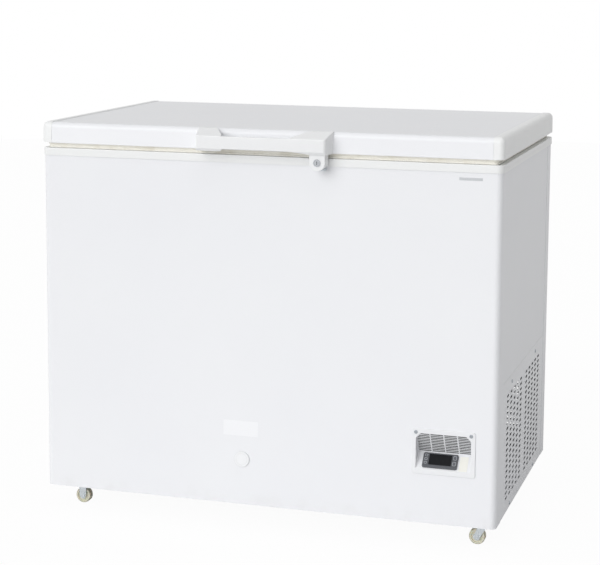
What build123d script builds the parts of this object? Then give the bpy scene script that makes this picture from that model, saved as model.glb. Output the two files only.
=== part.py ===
from build123d import *
import os

# Chest freezer on casters. Millimetres: X along the long side, -Y the front, +Z up.
# The origin is on the floor, under the middle of the freezer's box with the lid closed.

# Outer sizes
CABINET_WIDTH = 1110.0
CABINET_DEPTH = 692.0
CABINET_HEIGHT = 813.0
GROUND_CLEARANCE = 57.0
COLLAR_HEIGHT = 18.0
GASKET_HEIGHT = 12.0
LID_HEIGHT = 50.0

# Sheet metal case
SHEET = 0.8
CASE_CORNER = 14.0
WRAP = 58.0
LAP = 12.0
PANEL_GAP = 0.6
SERVICE_HEIGHT = 321.0
PAN_SHEET = 1.5
PAN_FLANGE = 22.0

# Insulation, liner and collar
WALL = 95.0
FLOOR = 122.0
LINER_SHEET = 1.0
LINER_CORNER = 22.0
LINER_FLANGE = 16.0
BAY_WIDTH = 305.0
BAY_CEILING = 318.0
STEP_WALL = 85.0
COLLAR_SHEET = 3.0
COLLAR_PROUD = 2.0

# Lid
LID_OVERHANG = 2.5
LID_SHEET = 1.2
LID_LEAN = 3.0
LID_ROUND = 13.0
CAP_WIDTH = 25.0
CAP_ROUND = 12.0
CAP_PROUD = 1.2
CAP_WALL = 2.5
CAP_GROOVE = 0.8
PLUG_DROP = 34.0
PLUG_GAP = 12.0
INNER_SHEET = 2.0
GASKET_INSET_X = 10.0
GASKET_INSET_Y = 2.0
GASKET_WIDTH = 14.0
GASKET_CORNER = 4.0

# Clearances between pieces
REST_GAP = 0.3
FIT_GAP = 0.2
PIN_GAP = 0.05

# Screws
SCREW = 2.0
SCREW_HEAD = 4.2
SCREW_HEAD_HEIGHT = 1.6
SCREW_LENGTH = 9.0

# Casters
WHEEL_RADIUS = 19.0
WHEEL_WIDTH = 17.0
WHEEL_SIDE_GAP = 1.0
WHEEL_EDGE = 2.5
WHEEL_HUB = 6.5
WHEEL_RIM = 14.0
FORK_SHEET = 2.5
FORK_TOP = 21.0
FORK_FOOT = 8.0
AXLE = 3.0
AXLE_HEAD = 4.8
AXLE_HEAD_HEIGHT = 1.6
CASTER_PLATE_LENGTH = 50.0
CASTER_PLATE_WIDTH = 44.0
CASTER_PLATE_SHEET = 2.5
CASTER_PLATE_CORNER = 4.0
CASTER_BOLT_X = 38.0
CASTER_BOLT_Y = 32.0
CASTER_BOLT = 2.5
CASTER_BOLT_HEAD = 4.5
CASTER_BOLT_HEAD_HEIGHT = 2.4
CASTER_BOLT_LENGTH = 10.0
CASTER_INSET_Y = 63.0
RIGID_INSET_X = 69.0
SWIVEL_INSET_X = 30.5
SWIVEL_OFFSET = 22.0
RACE_RADIUS = 16.0
RACE_HEIGHT = 3.6
CROWN_HEIGHT = 3.8
KINGPIN = 5.0
KINGPIN_HEAD = 7.5
KINGPIN_HEAD_HEIGHT = 1.3

# Control recess in the front, lower right
BEZEL_WIDTH = 148.0
BEZEL_HEIGHT = 106.0
BEZEL_FROM_SIDE = 123.0
BEZEL_Z = 169.0
BEZEL_PROUD = 2.5
BEZEL_CORNER = 5.0
BEZEL_WALL = 2.0
POCKET_WIDTH = 128.0
POCKET_TOP = 212.0
POCKET_APEX = 161.0
POCKET_BOTTOM = 128.0
POCKET_DEPTH = 30.0
POCKET_CUT_X = 10.0
POCKET_CUT_Z = 12.0
GRILLE_ROWS = 11
GRILLE_BAYS = 4
GRILLE_RIB = 2.4
GRILLE_SLOT = 2.6
GRILLE_EDGE = 1.5
BEZEL_SCREW_SPREAD = 128.0
BEZEL_SCREW_Z = 213.5
CONTROLLER_WIDTH = 81.0
CONTROLLER_HEIGHT = 37.0
CONTROLLER_SHIFT = -9.2
CONTROLLER_PROUD = 3.5
CONTROLLER_CORNER = 4.0
CONTROLLER_BODY_WIDTH = 70.0
CONTROLLER_BODY_HEIGHT = 28.0
CONTROLLER_BODY_DEPTH = 50.0
WINDOW_WIDTH = 52.5
WINDOW_HEIGHT = 27.0
WINDOW_SHIFT = 2.0
WINDOW_PROUD = 0.3
WINDOW_THICKNESS = 1.4
WINDOW_CORNER = 1.0
KEY_THICKNESS = 2.2
KEY_PROUD = 0.7
KEY_TRAVEL = 0.6
KEY_GAP = 0.35
KEY_CORNER = 2.0
KEY_COLUMN = 33.2
LEFT_KEY_WIDTH = 8.5
LEFT_KEY_HEIGHT = 7.5
LEFT_KEY_PITCH = 9.3
RIGHT_KEY_WIDTH = 9.5
RIGHT_KEY_HEIGHT = 12.0
RIGHT_KEY_PITCH = 14.5

# Drain through the front wall
DRAIN_X = -52.3
DRAIN_Z = 109.5
DRAIN_BORE = 7.0
DRAIN_WALL = 1.5
DRAIN_FLANGE = 14.0
DRAIN_REACH = 150.0
DRAIN_CAP_RADIUS = 19.0
DRAIN_CAP_THICKNESS = 2.2
DRAIN_STEM_LENGTH = 30.0

# Handle and lock
HANDLE_REACH = 40.0
HANDLE_X = 2.5
HANDLE_HALF = 156.5
HANDLE_FLARE = 6.2
HANDLE_FLARE_BEND = 1.3
HANDLE_FRONT_DROP = 16.5
HANDLE_CORNER = 7.0
HANDLE_EDGE = 2.5
HANDLE_DROP = 1.0
BAR_THICKNESS = 8.0
GRIP_END_LEFT = 32.0
GRIP_END_RIGHT = 37.0
GRIP_RUN_LEFT = 30.0
GRIP_RUN_RIGHT = 47.0
ARCH_END_LEFT = 59.0
ARCH_END_RIGHT = 39.0
ARCH_RUN_LEFT = 7.0
ARCH_RUN_RIGHT = 49.0
ARCH_RISE = 6.0
CHIN_DEPTH = 4.0
LOCK_FROM_END = 22.0
LOCK_DROP = 19.5
LOCK_HALF = 18.5
LOCK_FRONT = 33.0
LOCK_BACK = 5.0
LOCK_WALL = 2.5
LOCK_EDGE = 1.0
LOCK_CAVITY = 16.0
LOCK_PLUG = 5.5
LOCK_RIM = 8.5
LOCK_RIM_HEIGHT = 0.8
LOCK_KEYWAY = 1.2
LOCK_KEYWAY_HEIGHT = 7.6
LOCK_KEYWAY_DEPTH = 12.0
CAM_LENGTH = 12.5
CAM_HALF = 3.5
CAM_THICKNESS = 2.4
STRIKE_LEFT = 6.5
STRIKE_RIGHT = 13.0
STRIKE_RISE = 4.4
STRIKE_SHEET = 3.0
STRIKE_PLATE = 2.0
STRIKE_WIDTH = 26.0
STRIKE_HEIGHT = 28.4
STRIKE_LAP = 5.0
STRIKE_SCREW_SHIFT = -3.8
STRIKE_SCREW_SPREAD = 9.6
STRIKE_SCREW_RISE = 4.8
STRIKE_SIDE_GAP = 1.0
STRIKE_TIP_GAP = 1.5

# Hinges
HINGE_SPREAD = 740.0
HINGE_WIDTH = 60.0
HINGE_SHEET = 3.0
HINGE_PIN = 4.0
HINGE_KNUCKLE = 8.0
HINGE_KNUCKLE_START = -10.0
HINGE_SETBACK = 16.0
HINGE_EAR = 9.0
HINGE_BASE_HEIGHT = 62.0
HINGE_BASE_TOP_GAP = 2.0
HINGE_LEAF_HEIGHT = 34.0
HINGE_LEAF_STEP = 11.0
HINGE_SCREW_SPREAD = 30.0
HINGE_SCREW_ROWS = (12.0, 37.0)
LEAF_SCREW_Z = 21.0
SPRING_WIRE = 1.3
SPRING_RADIUS = 6.4
SPRING_TURNS = 5
SPRING_STEP = 2.4

# Refrigeration
TUBE = 4.0
THIN_TUBE = 3.0
EVAPORATOR_TURNS = 6
EVAPORATOR_PITCH = 56.0
EVAPORATOR_START = 440.0
COMPRESSOR_RADIUS = 78.0
COMPRESSOR_HEIGHT = 172.0
COMPRESSOR_ROUND = 42.0
COMPRESSOR_NECK = 39.0
COMPRESSOR_FROM_REAR = 237.0
FOOT_PLATE = 3.0
FOOT_MARGIN = 15.0
FOOT_SPREAD_X = 150.0
FOOT_SPREAD_Y = 110.0
GROMMET_HEIGHT = 16.0
GROMMET = 11.0
GROMMET_NECK = 5.5
TERMINAL_WIDTH = 60.0
TERMINAL_HEIGHT = 65.0
TERMINAL_DEPTH = 28.0
CONDENSER_LENGTH = 220.0
CONDENSER_HEIGHT = 248.0
CONDENSER_DEPTH = 44.0
CONDENSER_Y = 112.0
CONDENSER_LIFT = 12.0
CONDENSER_ROWS = 8
CONDENSER_FINS = 24
FIN_SHEET = 0.5
FAN_RADIUS = 88.0
FAN_TIP_GAP = 6.0
FAN_BLADES = 5
FAN_HUB = 22.0
FAN_DEPTH = 24.0
FAN_PITCH = 28.0
FAN_CHORD = 46.0
FAN_SHAFT = 4.0
MOTOR_RADIUS = 34.0
MOTOR_LENGTH = 46.0
MOTOR_ARM_WIDTH = 17.0
MOTOR_ARM_SHEET = 3.0
MOTOR_POST = 6.5
MOTOR_POST_RADIUS = 108.0
SHROUD_SHEET = 1.5
SHROUD_RING = 18.0
SHROUD_FOOT = 54.0
LINE_LIFT = 24.0
LINE_SIDE = 16.0
LINE_BEND = 6.0
SUCTION_BEND = 18.0
SHELL_ENTRY_X = 30.0
SHELL_ENTRY_Y = 30.0
SHELL_ENTRY_DEPTH = 60.0
DRIER_RADIUS = 13.0
DRIER_LENGTH = 110.0
DRIER_X = 20.0
DRIER_Y = 90.0
DRIER_Z = 60.0
DRIER_CLIP = 16.0
CAPILLARY_RISE = 40.0
CAPILLARY_BEND = 10.0
BOX_DEPTH = 62.0
BOX_LENGTH = 100.0
BOX_HEIGHT = 110.0
BOX_INSET_Y = 30.0
BOX_INSET_Z = 20.0
BOX_EDGE = 4.0

# Temperature sensor in the chamber
SENSOR_X = -200.0
SENSOR_Z = 613.0
SENSOR_RADIUS = 3.0
SENSOR_LENGTH = 70.0
SENSOR_OFFSET = 6.0
CLIP_WIDTH = 12.0
CLIP_HEIGHT = 60.0
CLIP_SHEET = 1.5

# Vent slots in the service panel
SLOT_ROWS = 20
SLOT_COLUMNS = 5
SLOT_LENGTH = 26.0
SLOT_HEIGHT = 6.5
SLOT_PITCH_Y = 44.0
SLOT_PITCH_Z = 12.9
SLOT_LOWEST = 35.0
SLOT_GROUP_SPREAD = 252.0
SERVICE_SCREW_SPREAD = 330.0
SERVICE_SCREW_HEIGHTS = (8.7, 303.5)

# Rear louvres and power inlet
LOUVRES = 14
LOUVRE_LOWEST = 60.0
LOUVRE_PITCH = 16.0
LOUVRE_HEIGHT = 5.0
LOUVRE_MARGIN = 65.0
GLAND_FROM_BAY = 40.0
GLAND_Z = 36.0
GLAND_RADIUS = 9.0
GLAND_BORE = 4.0
GLAND_FLANGE = 13.0
GLAND_FLANGE_SHEET = 3.0
GLAND_PROUD = 6.0
GLAND_TAIL = 3.2

# Planes that follow from the sizes above
HALF = CABINET_WIDTH / 2
Y_FRONT = HANDLE_REACH - (CABINET_DEPTH + HANDLE_REACH + HINGE_SETBACK + HINGE_EAR) / 2
Y_REAR = Y_FRONT + CABINET_DEPTH
Y_MIDDLE = (Y_FRONT + Y_REAR) / 2
Z_BASE = GROUND_CLEARANCE
Z_CASE = Z_BASE + CABINET_HEIGHT
Z_COLLAR = Z_CASE + COLLAR_HEIGHT
Z_LID = Z_COLLAR + GASKET_HEIGHT
Z_TOP = Z_LID + LID_HEIGHT
Z_PAN = Z_BASE + PAN_SHEET
Z_RIM = Z_COLLAR - COLLAR_SHEET
Z_SKIN = Z_TOP - CAP_PROUD
SIDE_IN = HALF - 2 * SHEET
BAY_X = HALF - BAY_WIDTH
BAY_WALL = BAY_X + SHEET
BAY_Z = Z_BASE + BAY_CEILING
BAY_MIDDLE = (BAY_X + SIDE_IN) / 2
CHAMBER_HALF = HALF - WALL
CHAMBER_FRONT = Y_FRONT + WALL
CHAMBER_REAR = Y_REAR - WALL
CHAMBER_FLOOR = Z_BASE + FLOOR
STEP_X = BAY_X - STEP_WALL
STEP_Z = BAY_Z + STEP_WALL
LID_FRONT = Y_FRONT - LID_OVERHANG
LID_REAR = Y_REAR + LID_OVERHANG
LID_HALF = HALF + LID_OVERHANG
CAP_SEAM = LID_HALF - CAP_WIDTH
LEAF_Y = LID_REAR + REST_GAP
HINGE_Y = Y_REAR + HINGE_SETBACK
HINGE_Z = Z_COLLAR + GASKET_HEIGHT / 2
HANDLE_LOW = Z_LID - HANDLE_DROP
HANDLE_LEFT = HANDLE_X - HANDLE_HALF
HANDLE_RIGHT = HANDLE_X + HANDLE_HALF
LOCK_X = HANDLE_RIGHT - LOCK_FROM_END
LOCK_Z = Z_LID - LOCK_DROP
LOCK_FACE = Y_FRONT - LOCK_FRONT
LOCK_TAIL = Y_FRONT - LOCK_BACK
LOCK_INSIDE = LOCK_TAIL - LOCK_CAVITY
CAM_BACK = LOCK_TAIL - (LOCK_CAVITY - CAM_THICKNESS) / 2
TONGUE_Z = LOCK_Z + STRIKE_RISE
STRIKE_LOW = TONGUE_Z + STRIKE_SHEET - STRIKE_HEIGHT
STRIKE_X = LOCK_X + STRIKE_LEFT
FACE_Y = Y_FRONT - BEZEL_PROUD
BEZEL_X = HALF - BEZEL_FROM_SIDE
GLAND_X = BAY_X + GLAND_FROM_BAY
COMPRESSOR_Y = Y_REAR - COMPRESSOR_FROM_REAR
FAN_X = BAY_MIDDLE
FAN_Z = Z_PAN + CONDENSER_LIFT + CONDENSER_HEIGHT / 2
SHROUD_Y = Y_FRONT + CONDENSER_Y + CONDENSER_DEPTH / 2

FACING_FRONT = Rot(90, 0, 0)
FACING_REAR = Rot(-90, 0, 0)
FACING_RIGHT = Rot(0, 90, 0)

nodes = {}


def save(name, *pieces):
    """Keeps a node made of one or more solids."""
    nodes[name] = list(pieces)


def box(x0, x1, y0, y1, z0, z1):
    """Block between two corners."""
    return Pos((x0 + x1) / 2, (y0 + y1) / 2, (z0 + z1) / 2) * Box(x1 - x0, y1 - y0, z1 - z0)


def post(x, y, z0, z1, radius):
    """Upright cylinder."""
    return Pos(x, y, (z0 + z1) / 2) * Cylinder(radius, z1 - z0)


def rod_y(x, z, y0, y1, radius):
    """Cylinder along Y."""
    return Pos(x, (y0 + y1) / 2, z) * Rot(90, 0, 0) * Cylinder(radius, y1 - y0)


def rod_x(y, z, x0, x1, radius):
    """Cylinder along X."""
    return Pos((x0 + x1) / 2, y, z) * Rot(0, 90, 0) * Cylinder(radius, x1 - x0)


def plate_yz(points, x0, x1):
    """Outline of (y, z) points, extruded along X."""
    return extrude(Plane.YZ.offset(x0) * make_face(Polyline(*points, close=True)), x1 - x0)


def plate_xz(points, y0, y1):
    """Outline of (x, z) points, extruded along Y."""
    return extrude(Plane.XZ.offset(-y1) * make_face(Polyline(*points, close=True)), y1 - y0)


def slab(half_x, y0, y1, z0, z1, corner):
    """Block centred on X with round upright corners."""
    outline = Pos(0, (y0 + y1) / 2) * RectangleRounded(2 * half_x, y1 - y0, corner)
    return extrude(Plane.XY.offset(z0) * outline, z1 - z0)


def tube_along(points, bend, radius):
    """Round bar along straight runs joined by arcs."""
    path = FilletPolyline(*points, radius=bend)
    return sweep(Plane(origin=path @ 0, z_dir=path % 0) * Circle(radius), path=path)


def screw():
    """Cross-head screw that points down, the underside of its head on Z = 0."""
    top = Pos(0, 0, SCREW_HEAD_HEIGHT / 2) * Cylinder(SCREW_HEAD, SCREW_HEAD_HEIGHT)
    top = fillet(top.edges().sort_by(Axis.Z)[-1], SCREW_HEAD_HEIGHT * 0.45)
    slot = Box(SCREW_HEAD * 1.1, SCREW_HEAD * 0.3, SCREW_HEAD_HEIGHT)
    cross = slot + Rot(0, 0, 90) * slot
    head = top - Pos(0, 0, SCREW_HEAD_HEIGHT) * cross
    return head + Pos(0, 0, -SCREW_LENGTH / 2) * Cylinder(SCREW, SCREW_LENGTH)


# Control bezel, the recess behind it and the controller on the recess's lower slope
def pocket_prism(grow, y0, y1):
    """Front view of the recess, two corners cut off for the screws, extruded along Y."""
    half = POCKET_WIDTH / 2 + grow
    low = Z_BASE + POCKET_BOTTOM - grow
    high = Z_BASE + POCKET_TOP + grow
    return plate_xz([
        (BEZEL_X - half, low),
        (BEZEL_X + half, low),
        (BEZEL_X + half, high - POCKET_CUT_Z),
        (BEZEL_X + half - POCKET_CUT_X, high),
        (BEZEL_X - half + POCKET_CUT_X, high),
        (BEZEL_X - half, high - POCKET_CUT_Z),
    ], y0, y1)


def pocket_wedge(grow):
    """V-shaped space of the recess, or its outer side when it grows by the wall."""
    section = make_face(Polyline(
        (FACE_Y - BEZEL_WALL, Z_BASE + POCKET_BOTTOM),
        (FACE_Y, Z_BASE + POCKET_BOTTOM),
        (FACE_Y + POCKET_DEPTH, Z_BASE + POCKET_APEX),
        (FACE_Y, Z_BASE + POCKET_TOP),
        (FACE_Y - BEZEL_WALL, Z_BASE + POCKET_TOP),
        close=True,
    ))
    if grow:
        section = offset(section, grow, kind=Kind.INTERSECTION)
    wedge = extrude(Plane.YZ.offset(BEZEL_X - POCKET_WIDTH) * section, 2 * POCKET_WIDTH)
    return wedge & pocket_prism(grow, FACE_Y - BEZEL_WALL, FACE_Y + 2 * POCKET_DEPTH)


def on_slope(x, y, z0, z1, width, height, corner):
    """Rounded plate on the recess's lower slope: X right, Y up the slope, Z outwards."""
    middle = Vector(BEZEL_X + CONTROLLER_SHIFT, FACE_Y + POCKET_DEPTH / 2,
                    Z_BASE + (POCKET_APEX + POCKET_BOTTOM) / 2)
    plane = Plane(origin=middle, x_dir=(1, 0, 0), z_dir=(0, POCKET_BOTTOM - POCKET_APEX, POCKET_DEPTH))
    return extrude(plane.offset(z0) * Pos(x, y) * RectangleRounded(width, height, corner), z1 - z0)


def key_places():
    """Name, x, y, width and height of each key on the controller."""
    left = [
        ("key_left_" + word, -KEY_COLUMN, WINDOW_SHIFT + step * LEFT_KEY_PITCH,
         LEFT_KEY_WIDTH, LEFT_KEY_HEIGHT)
        for word, step in (("top", 1), ("middle", 0), ("bottom", -1))
    ]
    right = [
        ("key_right_" + word, KEY_COLUMN, WINDOW_SHIFT + step * RIGHT_KEY_PITCH / 2,
         RIGHT_KEY_WIDTH, RIGHT_KEY_HEIGHT)
        for word, step in (("top", 1), ("bottom", -1))
    ]
    return left + right


def bezel_screw_places():
    """(x, z) of the two screws of the bezel."""
    return [(BEZEL_X + side * BEZEL_SCREW_SPREAD / 2, Z_BASE + BEZEL_SCREW_Z) for side in (-1, 1)]


def grille_slots():
    """Slots that are cut through the recess's upper slope."""
    pitch_x = (POCKET_WIDTH - 2 * GRILLE_EDGE + GRILLE_RIB) / GRILLE_BAYS
    pitch_z = (POCKET_TOP - POCKET_APEX - GRILLE_EDGE) / GRILLE_ROWS
    deep = FACE_Y + 2 * POCKET_DEPTH
    room = pocket_prism(-GRILLE_EDGE, FACE_Y, deep)
    slots = []
    for row in range(GRILLE_ROWS):
        top = Z_BASE + POCKET_TOP - GRILLE_EDGE - row * pitch_z
        for bay in range(GRILLE_BAYS):
            left = BEZEL_X - POCKET_WIDTH / 2 + GRILLE_EDGE + bay * pitch_x
            slots.append(box(left, left + pitch_x - GRILLE_RIB, FACE_Y, deep, top - GRILLE_SLOT, top) & room)
    return slots


def build_controls():
    outline = Pos(BEZEL_X, Z_BASE + BEZEL_Z) * RectangleRounded(BEZEL_WIDTH, BEZEL_HEIGHT, BEZEL_CORNER)
    frame = extrude(Plane.XZ.offset(-Y_FRONT) * outline, BEZEL_PROUD)
    frame = fillet(frame.faces().sort_by(Axis.Y)[0].edges(), BEZEL_PROUD / 2)
    behind = box(BEZEL_X - BEZEL_WIDTH, BEZEL_X + BEZEL_WIDTH, FACE_Y, Y_REAR, Z_BASE, Z_CASE)
    bezel = frame + (pocket_wedge(BEZEL_WALL) & behind) - pocket_wedge(0)
    bezel -= grille_slots()
    bezel -= on_slope(0, 0, -CONTROLLER_BODY_DEPTH, CONTROLLER_PROUD, CONTROLLER_BODY_WIDTH + 2 * FIT_GAP,
                      CONTROLLER_BODY_HEIGHT + 2 * FIT_GAP, CONTROLLER_CORNER)
    for x, z in bezel_screw_places():
        bezel -= rod_y(x, z, FACE_Y - 1, Y_FRONT + 1, SCREW + FIT_GAP)
    save("control_bezel", bezel)

    case = on_slope(0, 0, 0, CONTROLLER_PROUD, CONTROLLER_WIDTH, CONTROLLER_HEIGHT, CONTROLLER_CORNER)
    case += on_slope(0, 0, -CONTROLLER_BODY_DEPTH, 0, CONTROLLER_BODY_WIDTH, CONTROLLER_BODY_HEIGHT,
                     CONTROLLER_CORNER)
    window_floor = CONTROLLER_PROUD + WINDOW_PROUD - WINDOW_THICKNESS
    case -= on_slope(0, WINDOW_SHIFT, window_floor, CONTROLLER_PROUD + 1, WINDOW_WIDTH, WINDOW_HEIGHT,
                     WINDOW_CORNER)
    save("display_window", on_slope(0, WINDOW_SHIFT, window_floor, window_floor + WINDOW_THICKNESS,
                                    WINDOW_WIDTH, WINDOW_HEIGHT, WINDOW_CORNER))
    key_floor = CONTROLLER_PROUD + KEY_PROUD - KEY_THICKNESS
    for name, x, y, width, height in key_places():
        case -= on_slope(x, y, key_floor - KEY_TRAVEL - FIT_GAP, CONTROLLER_PROUD + 1, width + 2 * KEY_GAP,
                         height + 2 * KEY_GAP, KEY_CORNER + KEY_GAP)
        save(name, on_slope(x, y, key_floor, key_floor + KEY_THICKNESS, width, height, KEY_CORNER))
    save("controller_case", case)


# Case of painted sheet steel
def service_screw_places():
    """(y, z) of the four screws of the service panel."""
    return [
        (Y_MIDDLE + side * SERVICE_SCREW_SPREAD / 2, Z_BASE + height)
        for side in (-1, 1)
        for height in SERVICE_SCREW_HEIGHTS
    ]


def strike_screw_places():
    """(x, z) of the two screws of the lock strike."""
    middle = LOCK_X + STRIKE_SCREW_SHIFT
    return [(middle + side * STRIKE_SCREW_SPREAD / 2, STRIKE_LOW + STRIKE_SCREW_RISE) for side in (-1, 1)]


def build_case():
    tube = slab(HALF, Y_FRONT, Y_REAR, Z_BASE, Z_CASE, CASE_CORNER)
    tube -= slab(HALF - SHEET, Y_FRONT + SHEET, Y_REAR - SHEET, Z_BASE, Z_CASE, CASE_CORNER - SHEET)
    front = tube & box(-HALF, HALF, Y_FRONT, Y_FRONT + WRAP, Z_BASE, Z_CASE)
    front -= pocket_prism(BEZEL_WALL + PANEL_GAP, Y_FRONT - 1, Y_FRONT + WRAP / 2)
    front -= rod_y(DRAIN_X, Z_BASE + DRAIN_Z, Y_FRONT - 1, Y_FRONT + SHEET + 1,
                   DRAIN_BORE + DRAIN_WALL + FIT_GAP)
    for x, z in bezel_screw_places() + strike_screw_places():
        front -= rod_y(x, z, Y_FRONT - 1, Y_FRONT + SHEET + 1, SCREW + FIT_GAP)
    save("front_panel", front)

    rear = tube & box(-HALF, HALF, Y_REAR - WRAP, Y_REAR, Z_BASE, Z_CASE)
    for row in range(LOUVRES):
        z = Z_BASE + LOUVRE_LOWEST + row * LOUVRE_PITCH
        rear -= box(BAY_X + LOUVRE_MARGIN, SIDE_IN - LOUVRE_MARGIN, Y_REAR - 2 * SHEET, Y_REAR + 1,
                    z, z + LOUVRE_HEIGHT)
    rear -= rod_y(GLAND_X, Z_BASE + GLAND_Z, Y_REAR - 2 * SHEET, Y_REAR + 1, GLAND_RADIUS + FIT_GAP)
    for x, z in hinge_base_screws():
        rear -= rod_y(x, z, Y_REAR - 2 * SHEET, Y_REAR + 1, SCREW + FIT_GAP)
    save("rear_panel", rear)

    y0 = Y_FRONT + WRAP - LAP
    y1 = Y_REAR - WRAP + LAP
    seam = Z_BASE + SERVICE_HEIGHT
    save("left_side_panel", box(-HALF + SHEET, -SIDE_IN, y0, y1, Z_BASE, Z_CASE))
    save("right_side_panel", box(SIDE_IN, HALF - SHEET, y0, y1, seam + PANEL_GAP, Z_CASE))

    service = Pos(Y_MIDDLE, (Z_BASE + seam) / 2) * Rectangle(y1 - y0, seam - Z_BASE)
    cuts = []
    for group in (-1, 1):
        for column in range(SLOT_COLUMNS):
            y = Y_MIDDLE + group * SLOT_GROUP_SPREAD / 2 + (column - (SLOT_COLUMNS - 1) / 2) * SLOT_PITCH_Y
            for row in range(SLOT_ROWS):
                cuts.append(Pos(y, Z_BASE + SLOT_LOWEST + row * SLOT_PITCH_Z)
                            * SlotOverall(SLOT_LENGTH, SLOT_HEIGHT))
    for y, z in service_screw_places():
        cuts.append(Pos(y, z) * Circle(SCREW + FIT_GAP))
    save("service_panel", extrude(Plane.YZ.offset(SIDE_IN) * (service - cuts), SHEET))
    save("service_screws", *[
        Pos(HALF - SHEET, y, z) * FACING_RIGHT * screw() for y, z in service_screw_places()
    ])
    front_screws = [Pos(x, FACE_Y, z) * FACING_FRONT * screw() for x, z in bezel_screw_places()]
    front_screws += [Pos(x, Y_FRONT - STRIKE_PLATE, z) * FACING_FRONT * screw()
                     for x, z in strike_screw_places()]
    save("front_screws", *front_screws)

    pan = slab(SIDE_IN, Y_FRONT + SHEET, Y_REAR - SHEET, Z_BASE, Z_BASE + PAN_FLANGE, CASE_CORNER)
    pan -= slab(SIDE_IN - PAN_SHEET, Y_FRONT + SHEET + PAN_SHEET, Y_REAR - SHEET - PAN_SHEET, Z_PAN,
                Z_BASE + PAN_FLANGE, CASE_CORNER - PAN_SHEET)
    for x, y in caster_bolt_places():
        pan -= post(x, y, Z_BASE - 1, Z_PAN + 1, CASTER_BOLT + FIT_GAP)
    for y, z in service_screw_places():
        pan -= rod_x(y, z, SIDE_IN - 2 * PAN_SHEET, SIDE_IN + 1, SCREW + FIT_GAP)
    save("base_pan", pan)


# Insulation, liner and collar
def chamber(grow, top):
    """Storage space with a step over the machine bay, or its outer side when it grows."""
    corner = LINER_CORNER + grow
    front = CHAMBER_FRONT - grow
    rear = CHAMBER_REAR + grow
    space = slab(CHAMBER_HALF + grow, front, rear, CHAMBER_FLOOR - grow, top, corner)
    return space - box(STEP_X + grow, HALF, front - 1, rear + 1, Z_BASE, STEP_Z - grow)


def drain_solid(radius):
    """Bent pipe from the chamber's floor to the front."""
    z = Z_BASE + DRAIN_Z
    elbow = Y_FRONT + DRAIN_REACH
    pipe = rod_y(DRAIN_X, z, Y_FRONT, elbow, radius)
    pipe += post(DRAIN_X, elbow, z, CHAMBER_FLOOR - LINER_SHEET, radius)
    return pipe + Pos(DRAIN_X, elbow, z) * Sphere(radius)


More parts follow.
